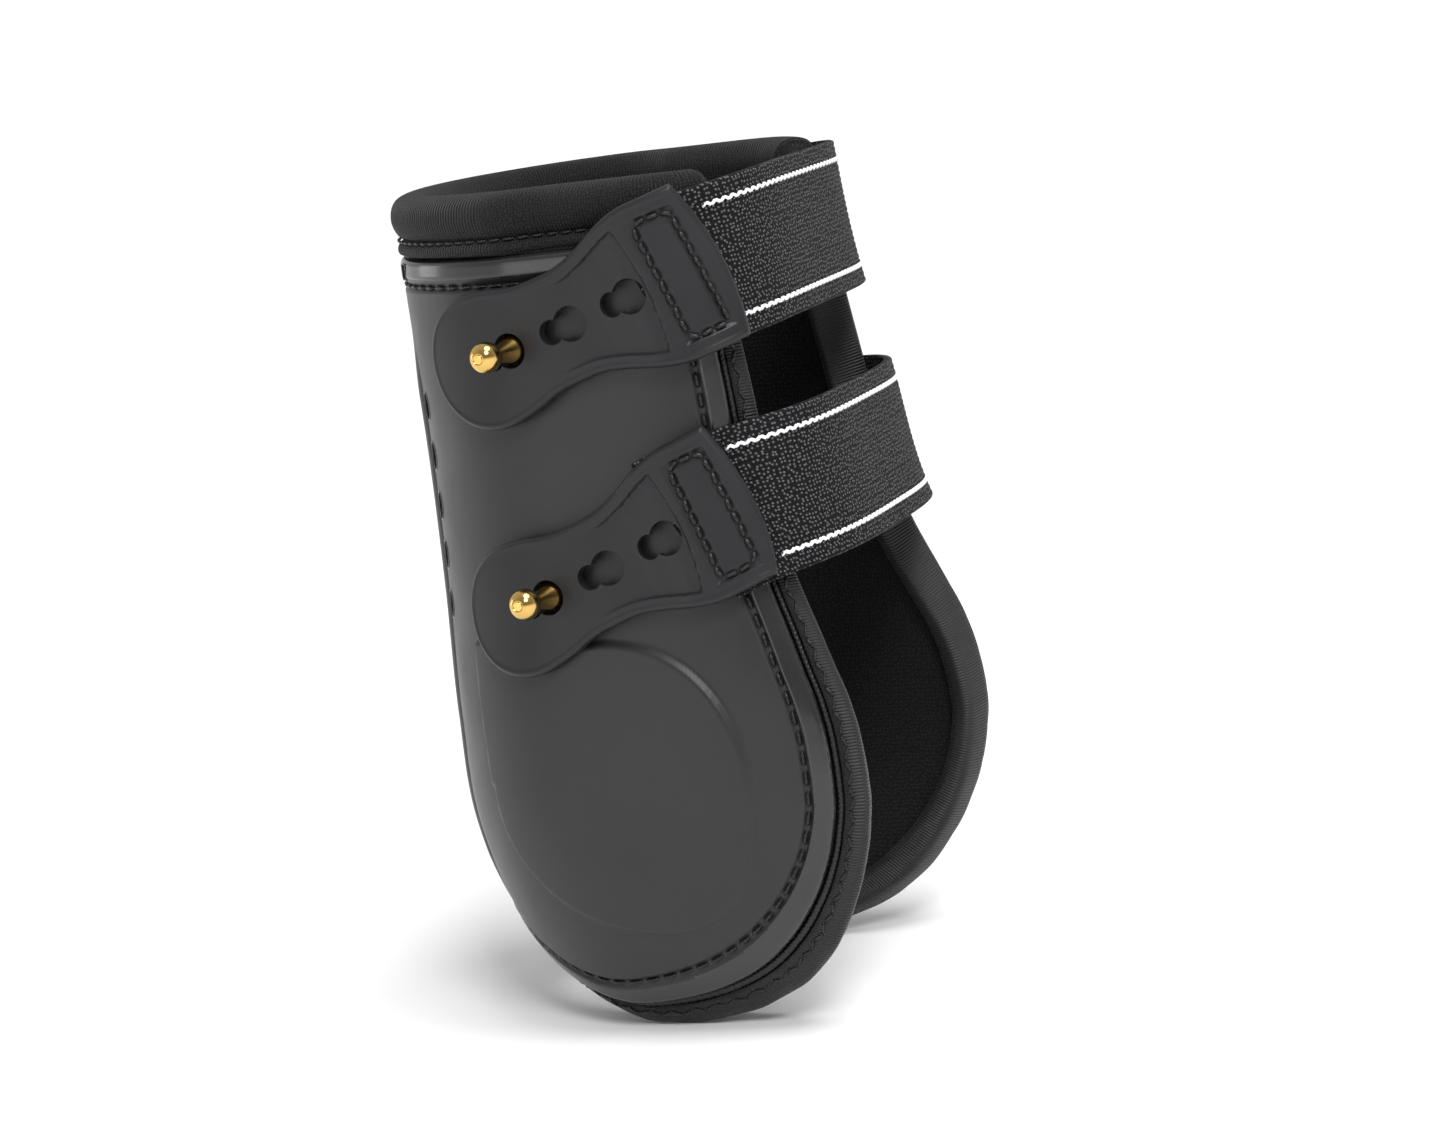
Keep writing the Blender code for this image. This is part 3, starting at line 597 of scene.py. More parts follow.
SOFT_BLACK = (0.008, 0.008, 0.0085)
shell_soft = finish("shell_soft", (0.0185, 0.0172, 0.0180), 0.42, grain=7, grain_depth=0.014,
                    gloss=0.35)
shell_gloss = finish("shell_gloss", (0.016, 0.015, 0.0155), 0.2, grain=3, grain_depth=0.005,
                     coat=0.1, gloss=0.5)
tab_rubber = finish("tab_rubber", (0.0125, 0.0122, 0.0138), 0.42, grain=6, grain_depth=0.014,
                    gloss=0.3)
neoprene = finish("neoprene", (0.0055, 0.0055, 0.0058), 0.7, ribs=(0.7, "X", 0.22), sheen=0.06,
                  grain_depth=0.02, flecks=((0.038, 0.038, 0.040), 0.6, 0.7), gloss=0.15)
knit = finish("knit_lining", SOFT_BLACK, 0.85, cells=(0.9, 0.2), sheen=0.08, gloss=0.1,
              flecks=((0.03, 0.03, 0.031), 0.9, 0.6))
foam = finish("foam_edge", SOFT_BLACK, 0.85, cells=(0.6, 0.08), gloss=0.1)
tape = finish("binding_tape_fine", (0.016, 0.015, 0.0155), 0.5, ribs=(0.62, "X", 0.2), sheen=0.06,
              grain_depth=0.015, gloss=0.25)
thread = finish("thread_black", (0.007, 0.007, 0.007), 0.4, twist=(0.5, 0.06), gloss=0.35)
elastic = finish("elastic_knit", (0.0045, 0.0045, 0.005), 0.75, cells=(0.55, 0.2), sheen=0.03,
                 gloss=0.12, flecks=((0.13, 0.13, 0.137), 0.85, 0.9))
white_thread = finish("thread_white", (0.78, 0.78, 0.80), 0.6, twist=(0.5, 0.05), mottle=0.05)
brass = finish("brass_fine", (0.62, 0.40, 0.12), 0.16, metallic=1.0, mottle=0.06, grain=4,
               grain_depth=0.004, spread=0.05)
zinc = finish("zinc_fine", (0.45, 0.45, 0.46), 0.33, metallic=1.0, grain=5, grain_depth=0.008)


# ---------------------------------------------------------------- shell

def panel_shape(girth, height):
    """1 inside the drop-shaped strike panel, 0 outside, soft over its bevel."""
    right, up = np.abs(girth) - PANEL_GIRTH, height - PANEL_HEIGHT
    disc = PANEL_RADIUS - np.hypot(right, up)
    rear, top = right + PANEL_RADIUS + PANEL_CORNER, PANEL_RADIUS - up
    corner = np.minimum(np.minimum(rear - 0.08 * top, top), np.minimum(-right, up))
    return smoothstep(0.0, 1.35, np.maximum(disc, corner))


def relief(girth, height):
    spine = smoothstep(SPINE_HALF + 1.5, SPINE_HALF - 1.5, np.abs(girth))
    low, high = smoothstep(*SPINE_LOW, height), smoothstep(*SPINE_HIGH, height)
    return PANEL_RISE * panel_shape(girth, height) + SPINE_RISE * spine * low * high


def shell_seam():
    """Places of the stitched groove: round the outline and back along the top."""
    top = SHELL_TOP - SEAM_DROP
    girths, heights = edge_point(np.linspace(-1, 1, 900), STITCH_INSET, top)
    across = np.linspace(girths[-1], girths[0], 400)[1:-1]
    return (np.concatenate([girths, across]),
            np.concatenate([heights, np.full(len(across), top)]))


def build_shell():
    across = 2 * spaced(240, 0.42, 0.55, 9) - 1
    up = spaced(150, 0.42, 0.55, 9)
    girth, height = layer_grid(SHELL_INSET, SHELL_TOP, across, up)
    seam = np.stack(shell_seam(), -1)
    edge = np.stack(edge_point(np.linspace(-1, 1, 3000), SHELL_INSET, SHELL_TOP), -1)
    reach = edge[0, 0]
    top_edge = np.stack([np.linspace(-reach, reach, 1200), np.full(1200, SHELL_TOP)], -1)
    seam_gap = nearest(girth, height, seam)
    edge_gap = nearest(girth, height, np.concatenate([edge, top_edge]))
    lift = relief(girth, height) + 0.25 * panel_shape(girth, height)
    lift -= 0.75 * np.exp(-(seam_gap / 0.8) ** 4)
    lift += (0.1 + 0.07 * edge_gap) * smoothstep(0.1, 0.7, edge_gap) * smoothstep(4.3, 3.6, edge_gap)
    round_over = 1 - np.clip(edge_gap / 1.2, 0, 1)
    lift -= 1.2 * (1 - np.sqrt(1 - round_over ** 2))
    crease = np.exp(-((np.abs(girth) - SPINE_HALF - 0.9) / 0.45) ** 2)
    lift -= 0.4 * crease * smoothstep(*SPINE_LOW, height) * smoothstep(*SPINE_HIGH, height)
    uv = np.stack([girth, height], -1)
    glossy = edge_gap < 4.1
    columns, rows = girth.shape
    outer_faces = (glossy[:-1, :-1] & glossy[1:, 1:]).reshape(-1).astype(int)
    wall = 2 * (columns - 1) + 2 * (rows - 1)
    face_finish = np.concatenate([outer_faces, np.zeros(outer_faces.size, int), np.ones(wall, int)])
    shell = slab("shell_fine", on_boot(girth, height, lift),
                 on_boot(girth, height, np.full(girth.shape, -SHELL_THICK)),
                 [shell_soft, shell_gloss], uv, face_finish)
    cutters, lips = [], []
    for side in (-1, 1):
        for k in range(VENT_COUNT):
            place = (side * VENT_GIRTH, VENT_TOP - k * VENT_PITCH)
            cutters.append(prism(f"vent_cutter_{side}_{k}", oval(VENT_WIDTH, VENT_HEIGHT, 40),
                                 *place, 0, -5, 5))
            lips.append(rim_line(oval(VENT_WIDTH + 0.35, VENT_HEIGHT + 0.35, 40), *place, 0.2))
        box = np.array(rounded_box(-SLOT_WIDTH / 2, SLOT_WIDTH / 2, SLOT_HEIGHT / 2, 0.5))
        place = (side * VENT_GIRTH, SHELL_TOP - 2.6)
        cutters.append(prism(f"slot_cutter_{side}", box, *place, 0, -5, 5))
        lips.append(rim_line(box * 1.12, *place, 0.18, 0.3))
    for _, stud_girth, stud_height, _, _ in STRAPS:
        cutters.append(prism(f"stud_cutter_{stud_height:.0f}", oval(4.8, 4.8, 32),
                             stud_girth, stud_height, 0, -6, 5))
    add(cut(shell, cutters), "boot", "shell_tpu", "outer_shell")
    add(tubes("shell_hole_lips", lips, shell_gloss, closed=True), "boot", "shell_tpu")
    path_girth, path_height = seam[:, 0], seam[:, 1]
    path = on_boot(path_girth, path_height, relief(path_girth, path_height) - 0.55)
    out = on_boot(path_girth, path_height, 1.0) - on_boot(path_girth, path_height, 0.0)
    add(stitches("shell_stitches", path, out, thread, rise=0.5, radius=0.36), "boot", "thread",
        "shell_stitching")


def rim_line(outline, girth, height, radius, lift=0.0):
    """Thin raised lip on the shell round a hole."""
    outline = np.asarray(outline)
    girths, heights = girth + outline[:, 0], height + outline[:, 1]
    level = relief(girths, heights) + lift - 0.05
    path, out = seam_line(girths, heights, level)
    return rings_along(path, out, radius, 6, closed=True)


def rounded_box(rear, front, half, corner, steps=5):
    """Outline of a box with round corners, as (u, w) points."""
    points = []
    for turn, (u, w) in enumerate(((front, half), (rear, half), (rear, -half), (front, -half))):
        cu = u - corner if u == front else u + corner
        cw = w - corner if w > 0 else w + corner
        points += [(cu + corner * math.cos(a), cw + corner * math.sin(a))
                   for a in np.linspace(turn, turn + 1, steps) * math.pi / 2]
    return points


# ---------------------------------------------------------------- lining and trims

PAD_OUTER = -SHELL_THICK - GAP
FABRIC_OUTER = PAD_OUTER - PAD_THICK - GAP
FABRIC_INNER = FABRIC_OUTER - FABRIC_THICK
PAD_EDGE = 2.8
TRIM_OUTSIDE, TRIM_INSIDE = PAD_OUTER + 1.5, FABRIC_INNER - 1.7
TRIM_LEG = 5.0


def build_lining():
    across = 2 * spaced(240, 1.0, 1.6, 8) - 1
    up = spaced(150, 1.0, 1.6, 8)
    girth, height = layer_grid(PAD_EDGE, PAD_TOP, across, up)
    uv = np.stack([girth, height], -1)
    outer = on_boot(girth, height, np.full(girth.shape, PAD_OUTER))
    puff = 0.25 * wobble(outer, 9.0, 3.0)
    inner = on_boot(girth, height, PAD_OUTER - PAD_THICK + np.clip(puff, 0, 0.3))
    pad = slab("lining_foam", outer, inner, [foam], uv)
    pockets = [prism(f"pocket_cutter_{stud_height:.0f}", oval(14, 14, 40), stud_girth, stud_height,
                     0, PAD_OUTER - 2.9, PAD_OUTER + 2)
               for _, stud_girth, stud_height, _, _ in STRAPS]
    add(cut(pad, pockets), "boot", "neoprene", "lining_pad")
    quilt = 0.3 * wobble(outer, 14.0, 8.0) - 0.1
    face = on_boot(girth, height, FABRIC_OUTER + np.minimum(quilt, 0))
    back = on_boot(girth, height, FABRIC_INNER + np.minimum(quilt, 0))
    cloth = add(slab("lining_knit", face, back, [knit], uv), "boot", "knit_fabric",
                "lining_fabric")


def trim(name, profile, top, steps, made_of, wave=None):
    """Sweep a closed profile of (inset, lift) points round the boot's outline."""
    along = np.linspace(-1, 1, steps + 1)[:, None]
    inset, lift = np.array(profile)[:, 0][None, :], np.array(profile)[:, 1][None, :]
    places = [edge_point(along[:, 0], k, top) for k in inset[0]]
    girth = np.stack([p[0] for p in places], -1)
    height = np.stack([p[1] for p in places], -1)
    lift = np.broadcast_to(lift, girth.shape)
    if wave is not None:
        lift = lift + wave(along, inset)
    return tubes(name, [on_boot(girth, height, lift)], made_of)


def smooth_loop(profile, count):
    """Closed smooth curve through a profile's points, evenly spaced."""
    points = np.array(profile, float)
    t = np.linspace(0, len(points), len(points) * 12, endpoint=False)
    k, f = t.astype(int), (t % 1)[:, None]
    p0, p1, p2, p3 = (points[(k + m) % len(points)] for m in (-1, 0, 1, 2))
    curve = 0.5 * (2 * p1 + (p2 - p0) * f + (2 * p0 - 5 * p1 + 4 * p2 - p3) * f ** 2
                   + (3 * p1 - p0 - 3 * p2 + p3) * f ** 3)
    loop = np.concatenate([curve, curve[:1]])
    run = np.concatenate([[0], np.cumsum(np.linalg.norm(np.diff(loop, axis=0), axis=-1))])
    at = np.linspace(0, run[-1], count, endpoint=False)
    return np.stack([np.interp(at, run, loop[:, j]) for j in (0, 1)], -1)


def binding_wave(along, inset):
    """Ribs across the tape, and soft folds where it turns the lower corners."""
    turn = np.exp(-((np.abs(along) - 0.33) / 0.16) ** 2)
    fold = 0.28 * np.sin(along * 95.0 + 2.0 * inset) * turn
    return np.minimum(fold + 0.12 * np.sin(along * 41.0), 0.3) - 0.15


def build_trims():
    leg, outside, inside = TRIM_LEG, TRIM_OUTSIDE, TRIM_INSIDE
    profile = [(leg, outside), (3.4, outside), (2.0, outside), (1.0, outside - 0.25),
               (0.3, outside - 0.9), (0.0, outside - 2.2), (0.0, (outside + inside) / 2),
               (0.0, inside + 2.2), (0.3, inside + 0.9), (1.0, inside + 0.25), (2.0, inside),
               (3.4, inside), (leg, inside), (leg, inside + 0.9), (1.6, inside + 0.9),
               (1.15, inside + 1.6), (1.15, outside - 1.6), (1.6, outside - 0.9),
               (leg, outside - 0.9)]
    binding = trim("edge_tape", profile, PAD_TOP, 900, tape, binding_wave)
    add(binding, "boot", "binding_tape", "edge_binding")
    inset, radius = (leg + SHELL_INSET) / 2, 0.62
    piping = [(inset + a, PAD_OUTER + GAP + radius + b) for a, b in oval(2 * radius, 2 * radius, 12)]
    cord = trim("edge_cord", piping, PAD_TOP, 700, thread,
                lambda along, at: 0.10 * np.sin(along * 700.0 + 4.0 * at))
    add(cord, "boot", "binding_tape", "edge_piping")
    along = np.linspace(-1, 1, 1500)
    girth, height = edge_point(along, 3.6, PAD_TOP)
    level = outside + binding_wave(along, 3.6)
    path, out = seam_line(girth, height, level)
    add(stitches("binding_stitches", path, out, thread, length=2.3, pitch=2.5, radius=0.3,
                 rise=0.62, sway=0.5), "boot", "thread", "binding_stitching")


def collar_dip(girth):
    """How far the collar is pressed in under the straps, ahead of the studs."""
    return -2.2 * smoothstep(56, 70, np.abs(girth))


def build_collar():
    """Padded roll round the top, with a smaller roll under it."""
    low, waist = SHELL_TOP + 0.5, SHELL_TOP + 3.4
    profile = [(0.0, low), (0.7, low + 0.9), (0.5, low + 1.8), (-0.2, waist - 0.3), (-1.3, waist),
               (0.1, waist + 0.8), (1.0, waist + 2.6), (1.2, waist + 4.6), (0.6, waist + 6.9),
               (-0.9, COLLAR_TOP - 0.7), (-3.8, COLLAR_TOP), (-7.0, COLLAR_TOP - 0.9),
               (-9.1, waist + 5.4), (-9.4, waist + 2.0), (-9.1, low + 1), (-8.5, low + 0.1),
               (-4.0, low)]
    loop = smooth_loop(profile, 72)
    reach = smooth_table(FRONT_REACH, SHELL_TOP, 1) - 0.5
    girth = np.linspace(-reach, reach, 240)[:, None]
    lift, height = loop[:, 0][None, :], loop[:, 1][None, :]
    girth, height = np.broadcast_arrays(girth, height)
    closing = np.clip((reach - np.abs(girth)) / 3.0, 0, 1)
    middle_lift, middle_height = -4.1, (low + COLLAR_TOP) / 2
    shrink = 0.35 + 0.65 * np.sqrt(closing * (2 - closing))
    base = on_boot(girth, height, np.broadcast_to(lift, girth.shape))
    ease = 0.3 * wobble(base, 16.0, 5.0) + 0.12 * wobble(base, 5.0, 2.0) - 0.25
    level = middle_lift + (lift - middle_lift) * shrink + collar_dip(girth)
    level = level + ease * np.sign(lift - middle_lift)
    height = middle_height + (height - middle_height) * shrink
    rings = on_boot(girth, height, level)
    roll = tubes("collar_padding", [rings], neoprene)
    smooth = roll.modifiers.new("smooth", "SUBSURF")
    smooth.levels = smooth.render_levels = 1
    add(roll, "boot", "neoprene", "collar_roll")
    girth = np.linspace(-reach + 3, reach - 3, 900)
    level = -0.25 + collar_dip(girth)
    path, out = seam_line(girth, np.full(girth.shape, waist), level)
    add(stitches("collar_stitches", path, out, thread, length=2.2, pitch=3.0, radius=0.3,
                 rise=0.4), "boot", "thread", "collar_stitching")


# ---------------------------------------------------------------- studs, tabs and straps

def lathe(name, profile, origin, axes, made_of, steps=64):
    """Closed solid of revolution; axes are the two radial directions and the axis itself."""
    right, up, out = (np.asarray(a) for a in axes)
    turn = np.linspace(0, 2 * math.pi, steps, endpoint=False)
    points, faces, rings = [], [], []
    for radius, along in profile:
        ring = [origin + out * along] if radius == 0 else list(
            origin + out * along + radius * (right * np.cos(turn)[:, None]
                                             + up * np.sin(turn)[:, None]))
        rings.append(list(range(len(points), len(points) + len(ring))))
        points += ring
    for a, b in zip(rings, rings[1:] + rings[:1]):
        if len(a) == 1 and len(b) == 1:
            continue
        for k in range(steps):
            m = (k + 1) % steps
            faces.append(list(dict.fromkeys((a[k % len(a)], a[m % len(a)],
                                             b[m % len(b)], b[k % len(b)]))))
    made = facing_out(mesh_object(name, np.array(points), faces, [made_of],
                                  np.zeros((len(points), 2))))
    made.data.set_sharp_from_angle(angle=math.radians(32))
    return made


def ball_profile(radius, centre, neck, count=18):
    """Ball with a small flat on its end, down to the neck behind it."""
    start, end = math.asin(1.15 / radius), math.pi - math.asin(neck / radius)
    return [(radius * math.sin(a), centre + radius * math.cos(a))
            for a in np.linspace(start, end, count)]


def build_stud(name, girth, height):
    point, forward, up, out = frame_at(girth, height)
    axes = (forward, up, out)
    ball = ball_profile(3.1, 12.4, 1.4)
    top = ball[0][1]
    cone = [(1.4 + 1.65 * t ** 1.6, 9.2 - 6.0 * t) for t in np.linspace(0, 1, 12)[1:]]
    profile = ([(1.25, -2.9), (1.25, 1.0), (0.0, 1.0), (0.0, top), (0.85, top), (0.95, top - 0.12),
                (1.1, top)] + ball + [(1.4, 9.2)] + cone
               + [(3.05, 0.5), (2.9, 0.3), (2.0, 0.3), (2.0, -2.9)])
    add(lathe(f"{name}_ball_stud", profile, point, axes, brass), "boot", "polished_brass",
        f"{name}_stud")
    washer = [(1.6, -3.4), (5.85, -3.4), (6.0, -3.5), (6.0, -4.1), (5.85, -4.2), (1.6, -4.2)]
    add(lathe(f"{name}_washer", washer, point, axes, zinc), "boot", "zinc_steel",
        f"{name}_stud_washer")
    screw = [(0.0, 0.6), (0.8, 0.6), (0.95, 0.45)]
    for k in range(12):
        screw += [(0.95, 0.3 - 0.38 * k), (0.80, 0.11 - 0.38 * k)]
    screw += [(0.95, -4.5), (3.5, -4.5), (3.6, -4.6), (3.4, -5.2), (2.6, -5.4), (1.3, -5.4),
              (1.2, -4.9), (0.0, -4.9)]
    add(lathe(f"{name}_screw", screw, point, axes, zinc), "boot", "zinc_steel",
        f"{name}_stud_screw")


def tab_half_width(u):
    """Half width of a tab: a round rear lobe, a waist and a flared front end."""
    lobe = np.sqrt(np.maximum(TAB_LOBE_RADIUS ** 2 - (u + TAB_LOBE_BACK) ** 2, 0.0))
    lobe = np.where(u > TAB_LOBE_RADIUS - TAB_LOBE_BACK, 0.0, lobe)
    neck = TAB_NECK + (TAB_HEAD - TAB_NECK) * smoothstep(13, 34, u)
    neck = np.where(u < -TAB_LOBE_BACK, 0.0, neck)
    fillet = 2.5 * smoothstep(-TAB_LOBE_BACK, 2.0, u)
    return np.where(u < -TAB_LOBE_BACK, lobe,
                    (lobe + neck + np.hypot(lobe - neck, fillet)) / 2)


def tab_place(strap, u, w):
    """Girth and height of a place on a tab, u towards the front and w upwards from the stud."""
    _, girth, height, slope, _ = strap
    return (girth + u * math.cos(slope) - w * math.sin(slope),
            height + u * math.sin(slope) + w * math.cos(slope))


def tab_lift(u):
    """Height of a tab's underside: just clear of the strike panel, then up over the elastic."""
    return TAB_LOW + (TAB_RAISED - TAB_LOW) * smoothstep(20, 28, u)


def tab_edge_line():
    """Outline of a tab as (u, w) places."""
    start = -TAB_LOBE_BACK - TAB_LOBE_RADIUS
    u = start + (TAB_FRONT - start) * np.linspace(0, 1, 900) ** 1.5
    half = tab_half_width(u)
    lower = np.stack([u - 1.8 * smoothstep(TAB_SEAM[0], TAB_FRONT, u), -half], -1)
    upper = lower * (1, -1)
    v = np.linspace(-1, 1, 160)
    front = np.stack([TAB_FRONT - 1.8 * v ** 2, v * tab_half_width(np.float64(TAB_FRONT))], -1)
    return np.concatenate([lower, upper, front])


def build_tab(strap):
    name = strap[0]
    start = -TAB_LOBE_BACK - TAB_LOBE_RADIUS + 0.03
    turn = np.linspace(0, 1, 60) ** 2
    lobe = start + (-TAB_LOBE_BACK - start) * turn
    ahead = -TAB_LOBE_BACK + (TAB_FRONT + TAB_LOBE_BACK) * spaced(50, 0.3, 0.35, 4)
    u = np.concatenate([lobe, ahead[1:]])[:, None]
    v = (2 * spaced(30, 0.2, 0.4, 4) - 1)[None, :]
    half = tab_half_width(u)
    w = v * half
    u = u - 1.8 * v ** 2 * smoothstep(TAB_SEAM[0], TAB_FRONT, u)
    edge_gap = nearest(u + 0 * v, w + 0 * u, tab_edge_line())
    round_over = 1 - np.clip(edge_gap / 1.1, 0, 1)
    soft = smoothstep(6, 22, u)
    # recessed keyhole panel inside a raised border, open towards the lobe
    sunk = smoothstep(2.6, 3.1, edge_gap) * smoothstep(31.0, 30.4, u + 0.008 * w ** 2) * soft
    # thin raised line just inside the edge of the lobe
    bead = 0.14 * np.exp(-((edge_gap - 0.9) / 0.5) ** 2)
    box_u = (TAB_SEAM[0] + TAB_SEAM[1]) / 2
    box = np.maximum(np.abs(u - box_u) - (TAB_SEAM[1] - TAB_SEAM[0]) / 2 - 0.9,
                     np.abs(w) - TAB_SEAM_HALF - 0.9)
    groove = np.exp(-((box + 0.9) / 0.75) ** 4)
    lift = tab_lift(u) + TAB_THICK - 0.9 * (1 - np.sqrt(1 - round_over ** 2))
    lift = lift - 0.95 * sunk + bead - 0.45 * groove - 0.15 * smoothstep(-1.2, -2.2, box)
    girth, height = tab_place(strap, u, w)
    uv = np.stack(np.broadcast_arrays(u, w), -1)
    tab = slab(f"{name}_tab_fine", on_boot(girth, height, lift),
               on_boot(girth, height, tab_lift(u) + 0 * w), [tab_rubber], uv)
    cutters = []
    for k, at in enumerate(KEYHOLES):
        centre = tab_place(strap, at, 0.0)
        cutters.append(prism(f"{name}_keyhole_cutter_{k}", keyhole_outline(), *centre, strap[3],
                             -3, 9))
    add(cut(tab, cutters), f"{name}_tab", "tab_rubber", f"{name}_tab")
    line = dense(rounded_box(*TAB_SEAM, TAB_SEAM_HALF, 1.6), 0.4)
    line = np.concatenate([line, line[:1]])
    girth, height = tab_place(strap, line[:, 0], line[:, 1])
    level = tab_lift(line[:, 0]) + TAB_THICK - 0.35
    path, out = seam_line(girth, height, level)
    add(stitches(f"{name}_tab_stitches", path, out, thread, length=2.5, pitch=2.75, radius=0.42,
                 rise=0.75, sway=0.12), f"{name}_tab", "thread", f"{name}_tab_stitching")


def keyhole_outline():
    """Round hole for the ball with a smaller round hole behind it."""
    meet = (KEYHOLE_STEP ** 2 + KEYHOLE_BIG ** 2 - KEYHOLE_SMALL ** 2) / (2 * KEYHOLE_STEP)
    big = math.acos(meet / KEYHOLE_BIG)
    small = math.acos((KEYHOLE_STEP - meet) / KEYHOLE_SMALL)
    outline = [(-KEYHOLE_BIG * math.cos(a), KEYHOLE_BIG * math.sin(a))
               for a in np.linspace(big, 2 * math.pi - big, 48)]
    outline += [(-KEYHOLE_STEP + KEYHOLE_SMALL * math.cos(a), -KEYHOLE_SMALL * math.sin(a))
                for a in np.linspace(small, 2 * math.pi - small, 32)[1:-1]]
    return outline


def dense(outline, spacing):
    """Closed outline with extra points, so that it can follow a curved surface."""
    points = []
    for (a, b), (c, d) in zip(outline, outline[1:] + outline[:1]):
        count = max(1, round(math.hypot(c - a, d - b) / spacing))
        points += [(a + (c - a) * k / count, b + (d - b) * k / count) for k in range(count)]
    return np.array(points)


class StrapPath:
    """Centre line of one elastic strap, by distance from the front centre, + to the far side."""

    def __init__(self, strap):
        lap_girth, lap_height = tab_place(strap, TAB_LAP, 0.0)
        self.top = lap_height + strap[4]
        self.start = -(half_girth(lap_height) - lap_girth)
        self.power = math.tan(strap[3]) * abs(self.start) / strap[4]
        self.rise = strap[4] / abs(self.start) ** self.power

    def place(self, along, across, lift):
        """Point at a distance along the strap, across its width and out from the skin."""
        along, across, lift = np.broadcast_arrays(
            *(np.asarray(v, float) for v in (along, across, lift)))
        rise = self.rise * np.where(along < 0, 1.0, FAR_FALL)
        centre = self.top - rise * np.abs(along) ** self.power
        slope = -np.sign(along) * rise * self.power * np.abs(along) ** (self.power - 1)
        tilt = np.arctan(slope)
        return lifted(strap_skin, along - across * np.sin(tilt), centre + across * np.cos(tilt),
                      lift)

    def band(self, name, start, end, made_of, lift=ELASTIC_LIFT, thick=ELASTIC_THICK,
             width=ELASTIC_WIDTH, step=0.5, knit_depth=0.0):
        along = np.linspace(start, end, max(8, int((end - start) / step)))[:, None]
        across = ((spaced(width, 0.2, step, 1.2) - 0.5) * width)[None, :]
        gap = np.minimum(width / 2 - np.abs(across), 0.6) + 0 * along
        top = lift + thick - 0.45 * (1 - np.sqrt(1 - (1 - gap / 0.6) ** 2))
        if knit_depth:
            column = np.abs(np.sin(math.pi * across / 1.25))
            stagger = 0.5 * (np.floor(across / 1.25) % 2)
            loop = np.abs(np.sin(math.pi * (along / 1.35 + stagger)))
            top = top - knit_depth * (1 - np.sqrt(column * (0.35 + 0.65 * loop)))
        uv = np.stack(np.broadcast_arrays(along, across), -1)
        return slab(name, self.place(along, across, top),
                    self.place(along, across, np.full(top.shape, lift)), [made_of], uv)


def build_strap(strap):
    name = strap[0]
    path = StrapPath(strap)
    near_fold = path.start + (TAB_HINGE - TAB_LAP) * math.cos(strap[3])
    far_fold = half_girth(path.top) - FAR_FOLD
    anchor_end = far_fold + ANCHOR_LENGTH
    main = path.band(f"{name}_elastic", near_fold, anchor_end, elastic, step=0.27, knit_depth=0.24)
    stripes = []
    for side, phase in ((-1, 0), (-1, 1), (1, 0), (1, 1)):
        along = np.linspace(near_fold + 0.3 + 0.45 * phase, anchor_end - 1, 1200)
        across = np.full(along.shape, side * (ELASTIC_WIDTH / 2 - 3.9))
        level = np.full(along.shape, ELASTIC_LIFT + ELASTIC_THICK - 0.02)
        line = path.place(along, across, level)
        out = path.place(along, across, level + 1) - line
        label = f"{name}_stripe_{'low' if side < 0 else 'high'}_{phase}"
        stripes.append(stitches(label, line, out, white_thread, length=1.45, pitch=1.05,
                                radius=0.21, rise=0.36, sway=0.48 * (-1) ** phase))
    start = path.place(far_fold + 1.2, 0.0, ELASTIC_LIFT) * MM
    end = path.place(far_fold - 1.2, 0.0, ELASTIC_LIFT) * MM
    for piece in (main, *stripes):
        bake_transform(piece)
    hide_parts(f"{name}_strap", f"{name}_strap_anchor_end")
    sewn = path.band(f"{name}_elastic_end", path.start, near_fold, elastic, step=0.5,
                     knit_depth=0.06)
    start = path.place(near_fold, 0.0, ELASTIC_LIFT) * MM
    end = path.place(near_fold - 2.4, 0.0, ELASTIC_LIFT) * MM
    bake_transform(sewn)
    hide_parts(f"{name}_strap_tab_end")
    patch_lift = ELASTIC_LIFT + ELASTIC_THICK + GAP
    patch = path.band(f"{name}_patch_fine", far_fold + PATCH_START, anchor_end + PATCH_PAST,
                      tab_rubber, patch_lift, PATCH_THICK, PATCH_WIDTH)
    add(patch, "boot", "tab_rubber", f"{name}_anchor_patch")
    line = dense(rounded_box(*ANCHOR_SEAM, TAB_SEAM_HALF, 1.6), 0.4)
    line = np.concatenate([line, line[:1]])
    level = np.full(len(line), patch_lift + 1.35)
    seam = path.place(far_fold + 3.0 + line[:, 0], line[:, 1], level)
    out = path.place(far_fold + 3.0 + line[:, 0], line[:, 1], level + 1) - seam
    add(stitches(f"{name}_anchor_stitches", seam, out, thread, length=2.5, pitch=2.75), "boot",
        "thread", f"{name}_anchor_stitching")


# ---------------------------------------------------------------- studio

# Pale floor: a wide dish whose rim rises a little, as distance and height in metres
FLOOR_REACH = (0.6, 2.0, 4.0, 6.0, 8.0, 10.0)
FLOOR_RISE = (0.0, 0.0, 0.02, 0.1, 0.3, 0.65)
FLOOR_STEPS = 96
CAMERA_TURN, CAMERA_TILT, CAMERA_ROLL = (math.radians(a) for a in (22.5, 10.0, -8.0))
CAMERA_TARGET = (13.0, 0.0, 42.5)
CAMERA_DISTANCE = 0.75
# name, place as (right, up, towards the camera) in metres, size, power
LIGHTS = (
    ("key", (0.2, 0.7, 1.1), 0.4, 10.0),
    ("fill", (-1.3, 0.0, 1.1), 0.9, 3.5),
    ("edge", (-1.1, 0.3, -0.5), 0.4, 1.0),
)


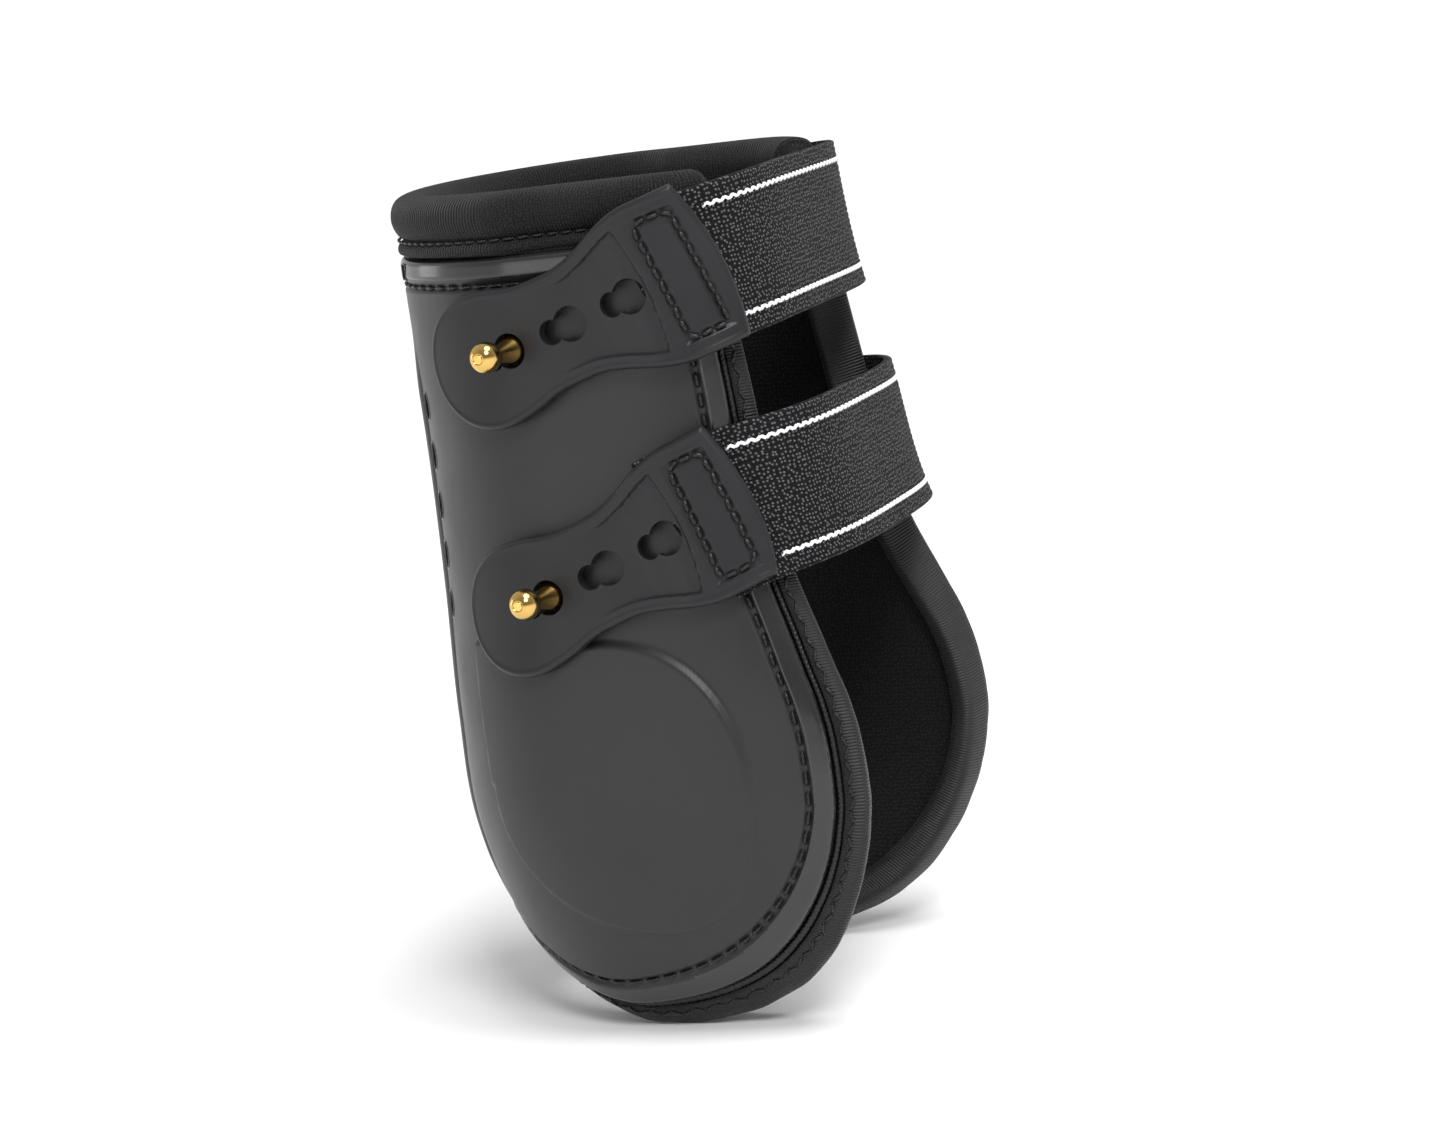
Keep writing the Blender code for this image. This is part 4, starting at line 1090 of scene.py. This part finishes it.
def build_studio():
    low = cad_box[0][2]
    turn = np.linspace(0, 2 * math.pi, FLOOR_STEPS, endpoint=False)
    reach, rise = np.array(FLOOR_REACH), np.array(FLOOR_RISE)
    rings = np.stack([reach[:, None] * np.cos(turn), reach[:, None] * np.sin(turn),
                      low + rise[:, None] + 0 * turn], -1).reshape(-1, 3) / MM
    index = np.arange(FLOOR_STEPS * len(reach)).reshape(-1, FLOOR_STEPS)
    quads = np.stack([index[:-1], index[1:], np.roll(index[1:], -1, 1), np.roll(index[:-1], -1, 1)],
                     -1).reshape(-1, 4)
    floor = mesh_object("floor", rings, [index[0].tolist()] + quads.tolist(), [])
    floor.data.materials.append(finish("floor_pale", (0.92, 0.92, 0.92), 0.6, mottle=0.0,
                                       grain_depth=0.0))
    world = bpy.data.worlds.new("studio")
    bpy.context.scene.world = world
    world.use_nodes = True
    nodes, links = world.node_tree.nodes, world.node_tree.links
    back = nodes["Background"]
    back.inputs["Color"].default_value = (1, 1, 1, 1)
    towards = nodes.new("ShaderNodeVectorMath")
    towards.operation = "DOT_PRODUCT"
    links.new(nodes.new("ShaderNodeTexCoord").outputs["Generated"], towards.inputs[0])
    towards.inputs[1].default_value = (0.38, -0.92, 0.0)
    shade = remap(nodes, links, towards.outputs["Value"], (-0.3, 0.8), (0.65, 0.3))
    links.new(shade, back.inputs["Strength"])
    turn, rise, roll = CAMERA_TURN, CAMERA_TILT, CAMERA_ROLL
    look = Vector((-math.sin(turn) * math.cos(rise), math.cos(turn) * math.cos(rise),
                   -math.sin(rise)))
    target = Vector(CAMERA_TARGET) * MM
    right = look.cross(Vector((0, 0, 1))).normalized()
    up = right.cross(look)
    tilted_right = right * math.cos(roll) + up * math.sin(roll)
    tilted_up = up * math.cos(roll) - right * math.sin(roll)
    camera = in_scene("camera", bpy.data.cameras.new("camera"))
    camera.data.lens = 90.9
    camera.data.sensor_width = 36.0
    camera.data.clip_end = 1000
    camera.matrix_world = Matrix.Translation(target - look * CAMERA_DISTANCE) @ Matrix(
        (tilted_right, tilted_up, -look)).transposed().to_4x4()
    bpy.context.scene.camera = camera
    for name, offset, size, power in LIGHTS:
        light = in_scene(name, bpy.data.lights.new(name, "AREA"))
        light.data.size, light.data.energy = size, power
        spot = target + right * offset[0] + up * offset[1] - look * offset[2]
        light.location = spot
        light.rotation_euler = (target - spot).to_track_quat("-Z", "Y").to_euler()
    sun = in_scene("sun", bpy.data.lights.new("sun", "SUN"))
    sun.data.energy, sun.data.angle = 2.3, math.radians(30)
    sun.rotation_euler = Vector((-0.35, 0.1, -1.0)).to_track_quat("-Z", "Y").to_euler()
    bpy.context.scene.view_settings.view_transform = "Standard"


build_shell()
build_lining()
build_trims()
build_collar()
for strap in STRAPS:
    build_stud(*strap[:3])
    build_tab(strap)
    build_strap(strap)
build_studio()
